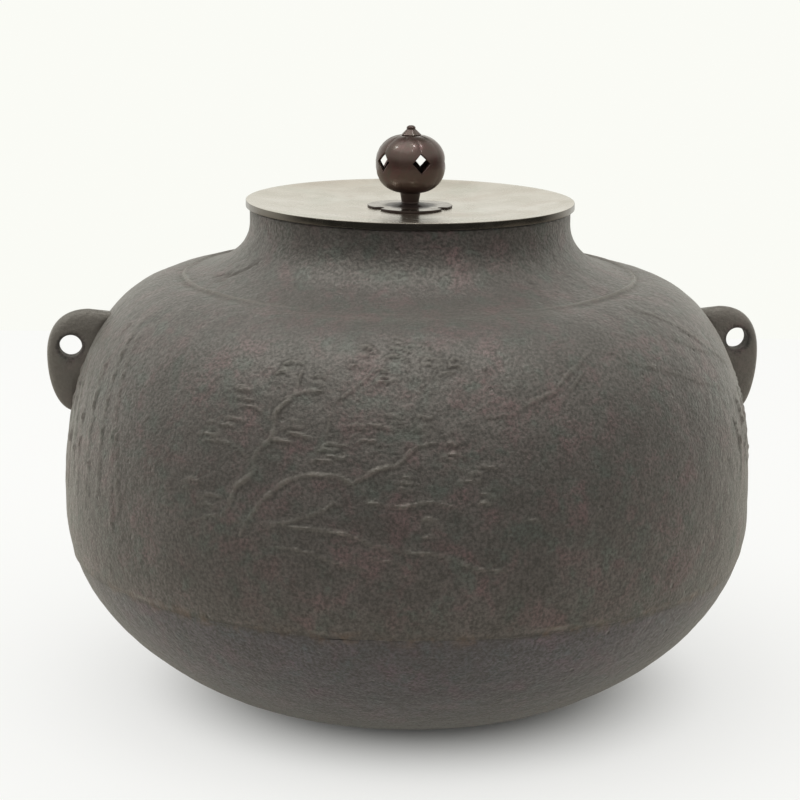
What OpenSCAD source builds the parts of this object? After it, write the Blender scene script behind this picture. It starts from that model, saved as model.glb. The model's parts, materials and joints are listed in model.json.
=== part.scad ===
// Chagama: a cast iron kettle that heats water for tea over a hearth.
// The round body stands on a bottom pan that laps inside it, two pierced ear lugs
// take carrying rings, and a dished bronze lid with a pierced knob lifts off the mouth.
// Sizes are in millimetres, Z is up, the origin is the middle of the base,
// and the two lugs lie on the X axis.

/* [Body] */
// Widest diameter, at the belly
belly_d = 278.8; // [256:0.2:304]
// Height of the middle of the belly's upright band
belly_z = 81; // [74:0.5:90]
// Height of the upright band
belly_band = 7; // [2:0.5:14]
// Thickness of the iron wall
wall_t = 3.2; // [2.6:0.1:4.2]
// Diameter of the flat base
base_d = 116; // [100:1:132]
// Thickness of the floor and of the lower pan
floor_t = 4; // [3:0.1:5]
// Height of the seam where the bottom pan meets the body
seam_z = 61.5; // [54:0.5:66]

/* [Seam lap] */
// Height of the pan's flange inside the body
lap_h = 10; // [6:0.5:12]
// Thickness of the flange
lap_t = 2.4; // [1.6:0.1:3.2]
// Gap between the flange and the body
lap_gap = 0.2; // [0.1:0.05:0.4]
// Chamfer that shows the seam as a fine groove
seam_chamfer = 0.5; // [0.2:0.1:0.8]
// Width and height of the lacquer bead above the flange
bead_w = 2.6; // [1.6:0.1:4]

/* [Shoulder and mouth] */
// Height of the mouth rim
mouth_z = 197.8; // [186:0.2:212]
// Inner diameter of the mouth
mouth_d = 120; // [108:1:132]
// Thickness of the lip at the mouth
lip_t = 4.4; // [3.6:0.1:5.4]
// Height of the upright neck below the rim
neck_h = 4.8; // [3:0.2:8]
// Width of the collar from the neck out to the raised ring line
collar_w = 28; // [22:0.5:34]
// Depth of the ring line below the rim
collar_drop = 27.5; // [23:0.5:32]
// Radius of the ring line's bead
ring_bead_r = 0.7; // [0.4:0.1:1.2]
// Chamfer round the outside of the rim
lip_chamfer = 0.8; // [0.4:0.1:1.4]

/* [Curves] */
// Slope of the bowl where it leaves the base, in degrees
foot_slope = 7; // [4:0.5:12]
// Fullness of the bowl near the base, as a share of its width
bowl_foot = 0.44; // [0.36:0.01:0.52]
// Fullness of the bowl near the belly, as a share of its height
bowl_rise = 0.525; // [0.45:0.005:0.6]
// Fullness of the shoulder above the belly, as a share of its height
shoulder_rise = 0.515; // [0.45:0.005:0.58]
// Fullness of the shoulder near the ring line, as a share of its width
shoulder_round = 0.72; // [0.6:0.01:0.78]
// Slope of the shoulder at the ring line, in degrees
shoulder_slope = 4.6; // [2:0.2:10]
// Slope of the collar at the ring line, in degrees
collar_slope = 13; // [8:0.5:18]
// Sweep of the collar near the ring line, as a share of its width
collar_sweep = 0.8; // [0.65:0.01:0.85]
// Sweep of the collar near the neck, as a share of its height
collar_rise = 0.44; // [0.3:0.005:0.5]

/* [Lugs] */
// Diameter of the eye for a carrying ring
eye_d = 9; // [7:0.5:10]
// Depth of the eye below the ring line
eye_drop = 27.3; // [24:0.5:32]
// Distance of the eye's centre from the body's surface
eye_reach = 7.8; // [7:0.1:10]
// Thickness of a lug
lug_t = 8; // [6.5:0.5:10]
// Reach of a lug outwards from the eye's centre
lug_out = 9.5; // [8.5:0.1:12]
// Reach of a lug upwards from the eye's centre
lug_up = 14.6; // [13:0.2:18]
// Reach of a lug downwards from the eye's centre
lug_down = 26.6; // [22:0.2:30]
// How much lower the right lug, shaped by hand, hangs on its eye
right_lug_drop = 1.4; // [0:0.1:3]
// How much longer the right lug's cheek is
right_lug_longer = 3.8; // [0:0.1:5]
// Fall of a lug's brow towards the body
brow_fall = 2.6; // [0:0.1:4]
// Rounding of a lug's edges
lug_round = 2.2; // [1:0.1:3]
// Diameter of the root peg that holds a lug in the wall
root_d = 5.2; // [4:0.2:6]
// Depth of the root peg in the wall
root_depth = 2; // [1:0.1:2.2]
// Distance of the root peg below the eye
root_drop = 13; // [11:0.5:16]
// Gap between a lug's root and the body
root_gap = 0.1; // [0.05:0.05:0.3]

/* [Singing plates] */
// Length of a plate
plate_len = 30; // [24:1:32]
// Width of a plate
plate_w = 14; // [10:0.5:16]
// Thickness of a plate
plate_t = 2.5; // [1.5:0.1:3.5]
// Thickness of the lacquer bed under a plate
bed_t = 0.8; // [0.5:0.1:1.4]
// Margin of the lacquer bed around a plate
bed_margin = 1.5; // [0.5:0.1:2]
// Space between neighbouring beds
plate_gap = 2; // [1:0.5:5]

/* [Lid] */
// Overhang of the lid past the lip of the mouth
lid_overhang = 1.6; // [0.5:0.1:3]
// Thickness of the lid's edge
lid_edge_t = 3.2; // [2.4:0.1:4.5]
// Depth of the dish at the middle of the lid
dish_depth = 3.2; // [1:0.1:5]
// Thickness of the lid inside its edge
lid_t = 2.4; // [1.8:0.1:3]
// Depth of the lid's locating lip in the mouth
lid_lip_h = 8; // [5:0.5:10]
// Thickness of the locating lip
lid_lip_t = 2.2; // [1.6:0.1:3]
// Play between the locating lip and the mouth
lid_play = 0.8; // [0.5:0.1:1.5]
// Rounding of the lid's edge
lid_round = 0.8; // [0.4:0.1:1.1]

/* [Knob] */
// Diameter of the pierced ball
knob_d = 28.2; // [24:0.2:30]
// Height of the pierced ball
knob_h = 23; // [21:0.2:26]
// Height of the ball's widest line above its foot
knob_mid = 12.1; // [11:0.1:14]
// Thickness of the ball's wall
shell_t = 1; // [0.8:0.1:1.5]
// Width of a pierced diamond
diamond_w = 7.6; // [5:0.2:9]
// Height of a pierced diamond
diamond_h = 8.2; // [5:0.2:9]
// Height of the diamonds' middle above the ball's widest line
diamond_rise = 0.9; // [0:0.1:2.5]
// Width of the crease above each diamond
crease_w = 0.7; // [0.5:0.1:1.4]
// Depth of the crease
crease_depth = 0.3; // [0.1:0.05:0.6]

/* [Knob seat and stem] */
// Distance of the seat's three lobes from its middle
seat_lobe_offset = 4.4; // [3:0.1:6]
// Radius of each lobe of the seat
seat_lobe_r = 13.3; // [11:0.1:14]
// Radius of the notch between two lobes
seat_notch_r = 2.2; // [1:0.1:3]
// Diameter of the boss in the middle of the seat
boss_d = 15.5; // [12:0.5:18]
// Height of the boss
boss_h = 1.2; // [0.6:0.1:2]
// Thickness of the seat
seat_t = 0.8; // [0.6:0.1:1.6]
// Margin of the lid's flat pad around the seat
pad_margin = 1; // [0.5:0.1:3]
// Height of the stem between the seat's boss and the ball
stem_h = 4; // [3:0.1:6]
// Diameter of the stem at the seat
stem_low_d = 7; // [6:0.1:8]
// Diameter of the stem at the ball
stem_top_d = 8.3; // [7:0.1:9]
// Diameter of the stem's tail through seat and lid
tail_d = 3.9; // [3:0.1:4.6]
// Diameter of the spigot in the ball's foot
spigot_d = 4.6; // [3.6:0.1:5]
// Gap around the tail, the spigot and the finial pin
pin_gap = 0.05; // [0.02:0.01:0.1]
// Overhang of a peened end around its shank
peen_w = 1.1; // [0.8:0.1:1.4]
// Height of a peened end
peen_h = 1.2; // [0.8:0.1:1.6]
// Diameter of the rivet washer under the lid
rivet_washer_d = 14; // [11:0.5:18]
// Thickness of the rivet washer
rivet_washer_t = 1; // [0.6:0.1:1.6]

/* [Finial] */
// Diameter of the lobed cap on the ball
finial_d = 8.6; // [7.6:0.1:9]
// Height of the lobed cap
finial_t = 2.4; // [1.2:0.1:2.6]
// Width of the cap's top, as a share of its foot
finial_top = 0.45; // [0.42:0.01:0.6]
// Margin of the ball's flat top around the cap
finial_margin = 0.2; // [0.1:0.05:0.8]
// Diameter of the button on the pin
button_d = 3.6; // [2.8:0.1:4]
// Height of the button
button_h = 1.5; // [1:0.1:2.4]
// Diameter of the pin's shank
finial_pin_d = 1.8; // [1.4:0.1:2]

/* [Hidden] */
$fn = 96;
curve_steps = 14;
cut_over = 1;
lobe_count = 5;
plate_count = 5;
seat_lobes = 3;
diamond_turn = -6;
seat_turn = -94;
// Shares of a lug's outward reach that shape its outline
lug_root = 2.5;
lug_brow_back = 0.8;
lug_brow_full = 0.46;
lug_cheek_full = 0.72;
lug_waist = 0.4;
lug_chin_full = 0.74;
// Share of a lug's downward reach where its chin turns in
lug_chin_turn = 0.92;
// Share of a cheek's extra length that lowers its widest place
lug_waist_share = 0.6;
// Shares of the ball's radius and height that shape its side
ball_foot_full = 0.8;
ball_foot_lift = 0.085;
ball_low_full = 0.535;
ball_high_full = 0.62;
ball_crown_full = 0.44;
ball_crown_fall = 0.03;
// Places on the upper side of the ball where a crease starts and ends
crease_start = 0.2;
crease_end = 0.85;
iron = "#4f4841";
plate_iron = "#3b3733";
bronze = "#8d7d63";
dark_bronze = "#5a4a3d";
lacquer = "#2b1d17";

// Radii and heights that follow from the sizes above
belly_r = belly_d / 2;
base_r = base_d / 2;
mouth_r = mouth_d / 2;
neck_r = mouth_r + lip_t;
ring_r = neck_r + collar_w;
ring_z = mouth_z - collar_drop;
knee_z = belly_z - belly_band / 2;
crown_z = belly_z + belly_band / 2;
neck_z = mouth_z - neck_h;
floor_z = floor_t * cos(foot_slope);
flange_out = wall_t + lap_gap;
flange_in = flange_out + lap_t;
bed_half_len = plate_len / 2 + bed_margin;
plate_ring_r = (bed_half_len + plate_gap / 2) / tan(180 / plate_count) + plate_w / 2 + bed_margin;

lid_r = neck_r + lid_overhang;
lid_top_z = mouth_z + lid_edge_t;
pad_z = lid_top_z - dish_depth;
pad_r = seat_lobe_offset + seat_lobe_r + pad_margin;
lid_lip_r = mouth_r - lid_play;

knob_r = knob_d / 2;
seat_top_z = pad_z + seat_t;
boss_top_z = seat_top_z + boss_h;
ball_z = boss_top_z + stem_h;
ball_mid_z = ball_z + knob_mid;
ball_top_z = ball_z + knob_h;
washer_top_z = ball_top_z + finial_t;
diamond_z = ball_mid_z + diamond_rise;

// Cubic curves in the plane of radius and height
function bezier(c, t) =
    pow(1 - t, 3) * c[0] + 3 * pow(1 - t, 2) * t * c[1] + 3 * (1 - t) * t * t * c[2] + pow(t, 3) * c[3];
function bezier_slope(c, t) =
    pow(1 - t, 2) * (c[1] - c[0]) + 2 * (1 - t) * t * (c[2] - c[1]) + t * t * (c[3] - c[2]);
function outward(c, t) = let (d = bezier_slope(c, t)) [d[1], -d[0]] / norm(d);
function inset(c, t, depth) = bezier(c, t) - depth * outward(c, t);
function spread(from, to) = [for (i = [0:curve_steps]) from + (to - from) * i / curve_steps];
function reversed(list) = [for (i = [len(list) - 1:-1:0]) list[i]];
// The place along a rising curve, set in by a depth, that lies at a given height
function place_at(c, z, depth = 0, low = 0, high = 1, rounds = 24) =
    rounds == 0 ? (low + high) / 2
    : let (mid = (low + high) / 2)
      inset(c, mid, depth)[1] < z ? place_at(c, z, depth, mid, high, rounds - 1)
                                  : place_at(c, z, depth, low, mid, rounds - 1);

// Outer curves of the kettle: the bowl, the shoulder and the collar
bowl = [
    [base_r, 0],
    [base_r, 0] + bowl_foot * (belly_r - base_r) * [cos(foot_slope), sin(foot_slope)],
    [belly_r, knee_z * (1 - bowl_rise)],
    [belly_r, knee_z]
];
shoulder = [
    [belly_r, crown_z],
    [belly_r, crown_z + shoulder_rise * (ring_z - crown_z)],
    [ring_r, ring_z] + shoulder_round * (belly_r - ring_r) * [cos(shoulder_slope), -sin(shoulder_slope)],
    [ring_r, ring_z]
];
collar = [
    [ring_r, ring_z],
    [ring_r, ring_z] + collar_sweep * collar_w * [-cos(collar_slope), sin(collar_slope)],
    [neck_r, neck_z - collar_rise * (neck_z - ring_z)],
    [neck_r, neck_z]
];

// A stretch of the bowl between two heights, set in by a depth
function bowl_stretch(low, high, depth) =
    [for (t = spread(place_at(bowl, low, depth), place_at(bowl, high, depth))) inset(bowl, t, depth)];
// The wall grows from its own thickness at the ring line to the lip's at the neck
function collar_wall(t) = wall_t + (lip_t - wall_t) * t;

body_outside = concat(
    [for (t = spread(place_at(bowl, seam_z), 1)) bezier(bowl, t)],
    [for (t = spread(0, 1)) bezier(shoulder, t)],
    [for (t = spread(0, 1)) bezier(collar, t)]
);
body_inside = concat(
    [for (t = spread(place_at(bowl, seam_z, wall_t), 1)) inset(bowl, t, wall_t)],
    [for (t = spread(0, 1)) inset(shoulder, t, wall_t)],
    [for (t = spread(0, 1)) inset(collar, t, collar_wall(t))]
);

// Body: the upper casting, from the seam to the mouth
module kettle_body() {
    color(iron)
    difference() {
        union() {
            rotate_extrude()
                polygon(concat(
                    body_outside,
                    [[neck_r, mouth_z - lip_chamfer], [neck_r - lip_chamfer, mouth_z], [mouth_r, mouth_z]],
                    reversed(body_inside)
                ));
            rotate_extrude() translate([ring_r, ring_z]) circle(ring_bead_r);
        }
        for (side = [0, 180]) rotate([0, 0, side]) root_peg(root_d + 2 * root_gap, root_depth + root_gap);
    }
}

// Bottom pan: the lower casting, with a flange that laps inside the body
module kettle_bottom() {
    flange_top = seam_z + lap_h;
    flange_low = seam_z - lap_h;
    outside = [for (t = spread(0, place_at(bowl, seam_z - seam_chamfer))) bezier(bowl, t)];
    rim = bezier(bowl, place_at(bowl, seam_z));
    lap_outside = bowl_stretch(seam_z, flange_top, flange_out);
    lap_inside = bowl_stretch(flange_low, flange_top, flange_in);
    pan_inside = [for (t = spread(0, place_at(bowl, flange_low - lap_t, floor_t))) inset(bowl, t, floor_t)];
    color(iron)
    rotate_extrude()
        polygon(concat(
            [[0, 0]], outside, [[rim[0] - seam_chamfer, seam_z]], lap_outside,
            reversed(lap_inside), reversed(pan_inside), [[0, floor_z]]
        ));
}

// Bead of iron-filled lacquer that seals the lap on the inside
module seam_lacquer() {
    bead_z = seam_z + lap_h;
    bead_low = inset(bowl, place_at(bowl, bead_z, flange_out), flange_out);
    bead_high = inset(bowl, place_at(bowl, bead_z + bead_w, flange_out), flange_out);
    color(lacquer)
    rotate_extrude()
        polygon([bead_low, bead_high, [bead_low[0] - min(bead_w, lap_t), bead_z]]);
}

// Lugs: ear-shaped plates with an eye, held by a root peg in the wall
eye_z = ring_z - eye_drop;
eye_x = bezier(shoulder, place_at(shoulder, eye_z))[0] + eye_reach;

module root_peg(d, depth, rise = 0) {
    place = place_at(shoulder, eye_z - root_drop);
    foot = bezier(shoulder, place);
    lean = outward(shoulder, place);
    translate([foot[0], 0, foot[1]])
        rotate([0, atan2(lean[0], lean[1]), 0])
        translate([0, 0, -depth])
        cylinder(d = d, h = depth + (rise > 0 ? rise : cut_over));
}

// Outline of a lug in the plane of the eye, with a longer cheek or none, drawn in all round its free edge
module lug_outline(longer, draw_in) {
    out = lug_out - draw_in;
    up = lug_up - draw_in;
    down = lug_down + longer - draw_in;
    root = lug_root * lug_out;
    waist = -lug_waist * lug_out - lug_waist_share * longer;
    brow = [[-lug_brow_back * lug_out, up], [lug_brow_full * lug_out, up],
            [out, lug_cheek_full * lug_out], [out, waist]];
    cheek = [[out, waist], [out, waist - lug_out],
             [lug_chin_full * lug_out, -lug_chin_turn * down], [0, -down]];
    polygon(concat(
        [[-root, -down], [-root, up - brow_fall]],
        [for (t = spread(0, 1)) bezier(brow, t)],
        [for (t = spread(0, 1)) bezier(cheek, t)]
    ));
}

module lug(drop, longer) {
    color(iron)
    difference() {
        union() {
            difference() {
                translate([eye_x, 0, eye_z - drop]) rotate([90, 0, 0]) hull() {
                    linear_extrude(lug_t, center = true) lug_outline(longer, lug_round);
                    linear_extrude(lug_t - lug_round, center = true) lug_outline(longer, 0.3 * lug_round);
                    linear_extrude(lug_t - 2 * lug_round, center = true) lug_outline(longer, 0);
                }
                rotate_extrude() translate([root_gap, 0])
                    polygon(concat([[0, 0], [belly_r, 0]], [for (t = spread(0, 1)) bezier(shoulder, t)],
                        [[ring_r, mouth_z], [0, mouth_z]]));
            }
            root_peg(root_d, root_depth, eye_reach);
        }
        translate([eye_x, 0, eye_z]) rotate([90, 0, 0]) cylinder(d = eye_d, h = 2 * lug_t, center = true);
    }
}

module right_lug() { lug(right_lug_drop, right_lug_longer); }
module left_lug() { rotate([0, 0, 180]) lug(0, 0); }

// Singing plates: iron slips bedded in lacquer on the floor, which make the kettle hum
module plate_outline(margin) {
    half_len = plate_len / 2 + margin;
    half_w = plate_w / 2 + margin;
    clip = plate_w / 4;
    polygon([
        [-half_len, -half_w + clip], [-half_len + clip, -half_w], [half_len, -half_w],
        [half_len, half_w - clip], [half_len - 1.5 * clip, half_w], [-half_len, half_w]
    ]);
}

module on_floor(i, z) {
    rotate([0, 0, 360 * i / plate_count]) translate([0, -plate_ring_r, z]) children();
}

module singing_plate(i) {
    color(plate_iron) on_floor(i, floor_z + bed_t) linear_extrude(plate_t) plate_outline(0);
}

module plate_bed(i) {
    color(lacquer) on_floor(i, floor_z) linear_extrude(bed_t) plate_outline(bed_margin);
}

// Lid: a dished bronze plate with a locating lip that drops into the mouth
function dish_z(r) = pad_z + dish_depth * pow(max(0, r - pad_r) / (lid_r - lid_round - pad_r), 2);

module lid_plate() {
    lip_in = lid_lip_r - lid_lip_t;
    hole_r = tail_d / 2 + pin_gap;
    rounding = [for (a = [90:-15:0])
        [lid_r - lid_round, lid_top_z - lid_round] + lid_round * [cos(a), sin(a)]];
    color(bronze)
    rotate_extrude()
        polygon(concat(
            [[hole_r, pad_z - lid_t], [hole_r, pad_z]],
            [for (r = spread(pad_r, lid_r - lid_round)) [r, dish_z(r)]],
            rounding,
            [[lid_r, mouth_z], [lid_lip_r, mouth_z]],
            [[lid_lip_r, mouth_z - lid_lip_h], [lip_in, mouth_z - lid_lip_h]],
            [for (r = spread(lip_in, pad_r)) [r, dish_z(r) - lid_t]]
        ));
}

// Knob seat: a three-lobed plate with notches between its lobes and a low boss under the stem
module knob_seat() {
    notch_out = seat_lobe_offset * cos(180 / seat_lobes)
        + sqrt(pow(seat_lobe_r, 2) - pow(seat_lobe_offset * sin(180 / seat_lobes), 2));
    color(dark_bronze)
    translate([0, 0, pad_z])
    difference() {
        union() {
            linear_extrude(seat_t) difference() {
                for (i = [0:seat_lobes - 1]) rotate(seat_turn + 360 * i / seat_lobes)
                    translate([seat_lobe_offset, 0]) circle(seat_lobe_r);
                for (i = [0:seat_lobes - 1]) rotate(seat_turn + 360 * (i + 0.5) / seat_lobes)
                    translate([notch_out, 0]) circle(seat_notch_r);
            }
            translate([0, 0, seat_t]) cylinder(d1 = boss_d, d2 = stem_low_d, h = boss_h);
        }
        translate([0, 0, -cut_over]) cylinder(d = tail_d + 2 * pin_gap, h = seat_t + boss_h + 2 * cut_over);
    }
}

// Knob stem: a turned post, peened inside the ball and under the lid
module knob_stem() {
    tail_end = pad_z - lid_t - rivet_washer_t;
    spigot_end = ball_z + shell_t;
    low = stem_low_d / 2;
    top = stem_top_d / 2;
    tail = tail_d / 2;
    spigot = spigot_d / 2;
    color(dark_bronze)
    rotate_extrude()
        polygon([
            [0, tail_end - peen_h], [tail, tail_end - peen_h],
            [tail + peen_w, tail_end - peen_h / 2], [tail + peen_w, tail_end], [tail, tail_end],
            [tail, boss_top_z], [low, boss_top_z],
            [top, ball_z], [spigot, ball_z], [spigot, spigot_end],
            [spigot + peen_w, spigot_end], [spigot + peen_w, spigot_end + peen_h / 2],
            [spigot, spigot_end + peen_h], [0, spigot_end + peen_h]
        ]);
}

// Knob shell: a hollow ball with diamonds pierced round its waist and a crease above each
ball_foot = stem_top_d / 2;
ball_crown = finial_d / 2 + finial_margin;
ball_low = [
    [ball_foot, ball_z], [ball_foot_full * knob_r, ball_z + ball_foot_lift * knob_mid],
    [knob_r, ball_mid_z - ball_low_full * knob_mid], [knob_r, ball_mid_z]
];
ball_high = [
    [knob_r, ball_mid_z], [knob_r, ball_mid_z + ball_high_full * (knob_h - knob_mid)],
    [ball_crown + ball_crown_full * (knob_r - ball_crown), ball_top_z - ball_crown_fall * (knob_h - knob_mid)],
    [ball_crown, ball_top_z]
];
function ball_side(depth) = concat(
    [for (t = spread(0, 1)) inset(ball_low, t, depth)], [for (t = spread(0, 1)) inset(ball_high, t, depth)]);

module knob_shell() {
    hole_low = spigot_d / 2 + pin_gap;
    hole_top = finial_pin_d / 2 + pin_gap;
    color(dark_bronze)
    difference() {
        rotate_extrude()
            polygon(concat(
                [[hole_low, ball_z + shell_t], [hole_low, ball_z]], ball_side(0),
                [[hole_top, ball_top_z], [hole_top, ball_top_z - shell_t]],
                reversed([for (p = ball_side(shell_t)) [max(p[0], hole_low), max(p[1], ball_z + shell_t)]])
            ));
        for (i = [0:lobe_count - 1]) rotate([0, 0, diamond_turn + 360 * i / lobe_count]) {
            translate([knob_r / 2, 0, diamond_z]) rotate([90, 0, 90]) linear_extrude(knob_r)
                polygon([[-diamond_w / 2, 0], [0, -diamond_h / 2], [diamond_w / 2, 0], [0, diamond_h / 2]]);
            rotate([90, 0, 0]) linear_extrude(crease_w, center = true)
                polygon(concat(
                    [for (t = spread(crease_start, crease_end)) inset(ball_high, t, crease_depth)],
                    reversed([for (t = spread(crease_start, crease_end)) inset(ball_high, t, -cut_over)])
                ));
        }
    }
}

// Finial: a lobed cap on the ball, tapered like a low cone, and a button-headed pin clinched inside
module finial_washer() {
    petal_r = finial_d / 5;
    color(dark_bronze)
    translate([0, 0, ball_top_z])
    difference() {
        intersection() {
            cylinder(d1 = finial_d, d2 = finial_top * finial_d, h = finial_t);
            linear_extrude(finial_t) {
                circle(finial_d / 2 - petal_r / 2);
                for (i = [0:lobe_count - 1]) rotate(360 * (i + 0.5) / lobe_count + diamond_turn)
                    translate([finial_d / 2 - petal_r, 0]) circle(petal_r);
            }
        }
        translate([0, 0, -cut_over]) cylinder(d = finial_pin_d + 2 * pin_gap, h = finial_t + 2 * cut_over);
    }
}

module finial_pin() {
    shank = finial_pin_d / 2;
    button = button_d / 2;
    clinch_z = ball_top_z - shell_t;
    dome = [for (a = [0:15:90]) [button * cos(a), washer_top_z + button_h / 3 + 2 / 3 * button_h * sin(a)]];
    color(dark_bronze)
    rotate_extrude()
        polygon(concat(
            [[0, clinch_z - peen_h], [shank, clinch_z - peen_h], [shank + peen_w, clinch_z - peen_h / 2],
             [shank + peen_w, clinch_z], [shank, clinch_z], [shank, washer_top_z], [button, washer_top_z]],
            dome
        ));
}

// Rivet washer: the plain disc under the lid that the stem is peened over
module rivet_washer() {
    color(bronze)
    translate([0, 0, pad_z - lid_t - rivet_washer_t])
    difference() {
        cylinder(d = rivet_washer_d, h = rivet_washer_t);
        translate([0, 0, -cut_over]) cylinder(d = tail_d + 2 * pin_gap, h = rivet_washer_t + 2 * cut_over);
    }
}

kettle_body();
kettle_bottom();
seam_lacquer();
left_lug();
right_lug();
for (i = [1:plate_count]) singing_plate(i);
for (i = [1:plate_count]) plate_bed(i);
lid_plate();
knob_seat();
knob_stem();
knob_shell();
finial_washer();
finial_pin();
rivet_washer();
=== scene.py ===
# %% [markdown]
# # A tea-room kettle in cast iron and bronze
# The kettle is two iron castings, a body and a bottom pan, with a pierced lug on each side. A dished
# bronze lid lies in its mouth, with a pierced ball for a knob, and five iron slips on the floor inside
# make the boiling water sing. The measured solids are packed already, one for each piece. A lesson could
# place everything by eye, but then the pieces would no longer fit, so sizes are read from those solids
# and finer meshes take their place.

# %% Load the measured solids
import json
import math
import random

import bmesh
import bpy
import numpy as np
from mathutils import Euler, Matrix, Vector, kdtree, noise

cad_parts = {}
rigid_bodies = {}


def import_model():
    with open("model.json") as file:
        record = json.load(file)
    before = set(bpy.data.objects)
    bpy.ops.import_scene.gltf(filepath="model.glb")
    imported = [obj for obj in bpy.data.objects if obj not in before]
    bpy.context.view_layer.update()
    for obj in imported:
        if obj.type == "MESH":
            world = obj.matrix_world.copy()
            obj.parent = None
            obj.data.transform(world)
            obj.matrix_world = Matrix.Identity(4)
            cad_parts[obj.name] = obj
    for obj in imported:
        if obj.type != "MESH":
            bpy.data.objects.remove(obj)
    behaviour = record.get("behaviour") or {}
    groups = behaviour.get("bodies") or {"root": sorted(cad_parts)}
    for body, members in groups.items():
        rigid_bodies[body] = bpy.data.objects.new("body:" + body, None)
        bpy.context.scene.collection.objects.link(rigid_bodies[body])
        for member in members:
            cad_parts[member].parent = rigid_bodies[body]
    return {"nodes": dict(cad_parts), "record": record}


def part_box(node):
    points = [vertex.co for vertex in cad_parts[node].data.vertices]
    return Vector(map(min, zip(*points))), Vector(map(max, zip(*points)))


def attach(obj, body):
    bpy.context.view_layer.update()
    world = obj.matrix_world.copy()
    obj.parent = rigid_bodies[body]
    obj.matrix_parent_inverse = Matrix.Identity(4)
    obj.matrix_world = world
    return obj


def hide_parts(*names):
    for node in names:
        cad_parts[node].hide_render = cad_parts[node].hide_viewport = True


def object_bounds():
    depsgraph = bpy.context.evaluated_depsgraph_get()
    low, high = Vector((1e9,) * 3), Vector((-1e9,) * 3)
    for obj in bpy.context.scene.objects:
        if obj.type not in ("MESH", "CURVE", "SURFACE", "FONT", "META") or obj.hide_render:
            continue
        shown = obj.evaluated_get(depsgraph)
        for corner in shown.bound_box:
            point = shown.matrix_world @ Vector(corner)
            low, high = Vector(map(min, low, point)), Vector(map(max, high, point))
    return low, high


for leftover in list(bpy.data.objects):
    bpy.data.objects.remove(leftover)
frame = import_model()
cad_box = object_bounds()
scene = bpy.context.scene
mm = 0.001
print("solids:", len(frame["nodes"]), "box:", cad_box)

# %% [markdown]
# ## The camera
# A long lens from a low place flattens the kettle a little and shows the lid as a thin oval. The place
# could be found by trial, but it is quicker to work back from the ovals of lid and belly, which give the
# height and the distance. The kettle stands turned a few degrees, so the camera walks round it to match.

# %% Set up the camera
heading = math.radians(6.6)
tilt_down = math.radians(12.93)
camera_roll = math.radians(0.65)
camera_distance = 0.890
camera_height = 0.3225
camera_aside = -3.2 * mm
lens_mm = 100.15
sensor_mm = 36

ahead = Vector((math.sin(heading), math.cos(heading), 0))
right_hand = Vector((math.cos(heading), -math.sin(heading), 0))
camera_data = bpy.data.cameras.new("camera")
camera_data.sensor_width = sensor_mm
camera_data.lens = lens_mm
camera = bpy.data.objects.new("camera", camera_data)
camera.location = camera_aside * right_hand - camera_distance * ahead
camera.location.z = camera_height
upright = Euler((math.pi / 2 - tilt_down, 0, -heading)).to_matrix()
camera.rotation_euler = (upright @ Matrix.Rotation(camera_roll, 3, "Z")).to_euler()
scene.collection.objects.link(camera)
scene.camera = camera
print("camera at", camera.location)

# %% [markdown]
# ## Wiring materials
# Every finish here is made of noise and masks, so the same few moves come back: add a node, feed it
# numbers or another node's outputs, and mix two colours. Wiring them by hand each time would bury what a
# finish is made of, so a few small helpers do it.

# %% Helpers for wiring
def feed(tree, socket, value):
    """Joins another node's output to a socket, or sets the socket to a plain value."""
    if isinstance(value, bpy.types.NodeSocket):
        tree.links.new(value, socket)
    else:
        socket.default_value = value


def feed_all(tree, node, **inputs):
    """Feeds a node's inputs by name, with _ for a space."""
    for name, value in inputs.items():
        feed(tree, node.inputs[name.replace("_", " ")], value)


def add_node(tree, kind, settings=None, **inputs):
    """A new node with its settings and its inputs."""
    made = tree.nodes.new(kind)
    for setting, value in (settings or {}).items():
        setattr(made, setting, value)
    feed_all(tree, made, **inputs)
    return made


def blend_colours(tree, share, first, second, how="MIX"):
    """The first colour, with a share of the second mixed in."""
    mixer = add_node(tree, "ShaderNodeMix", {"data_type": "RGBA", "blend_type": how})
    feed(tree, mixer.inputs[0], share)
    feed(tree, mixer.inputs[6], first)
    feed(tree, mixer.inputs[7], second)
    return mixer.outputs[2]


def mix_shaders(tree, share, first, second):
    """The first shader, with a share of the second mixed in."""
    mixer = add_node(tree, "ShaderNodeMixShader", Fac=share)
    feed(tree, mixer.inputs[1], first)
    feed(tree, mixer.inputs[2], second)
    return mixer.outputs["Shader"]


def work_out(tree, how, first, second, kind="ShaderNodeMath", result=0):
    """One sum on two numbers, such as ADD or MAXIMUM."""
    sum_node = add_node(tree, kind, {"operation": how})
    feed(tree, sum_node.inputs[0], first)
    feed(tree, sum_node.inputs[1], second)
    return sum_node.outputs[result]


def times(tree, first, *others):
    """Numbers multiplied together."""
    for other in others:
        first = work_out(tree, "MULTIPLY", first, other)
    return first


def measure(tree, how, first, second):
    """One measure of two directions or places, such as DOT_PRODUCT or DISTANCE."""
    return work_out(tree, how, first, second, "ShaderNodeVectorMath", "Value")


def between(tree, value, low, high, to_low=0.0, to_high=1.0):
    """Spreads a value that runs from low to high smoothly over another range."""
    ramp = add_node(tree, "ShaderNodeMapRange", {"interpolation_type": "SMOOTHSTEP"}, Value=value,
                    From_Min=low, From_Max=high, To_Min=to_low, To_Max=to_high)
    return ramp.outputs["Result"]


def upward_part(tree, vector):
    """The height in a place or a direction."""
    return add_node(tree, "ShaderNodeSeparateXYZ", Vector=vector).outputs["Z"]


def place_on_piece(tree):
    """The point's own place on the piece, in metres."""
    return tree.nodes.new("ShaderNodeTexCoord").outputs["Object"]


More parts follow.
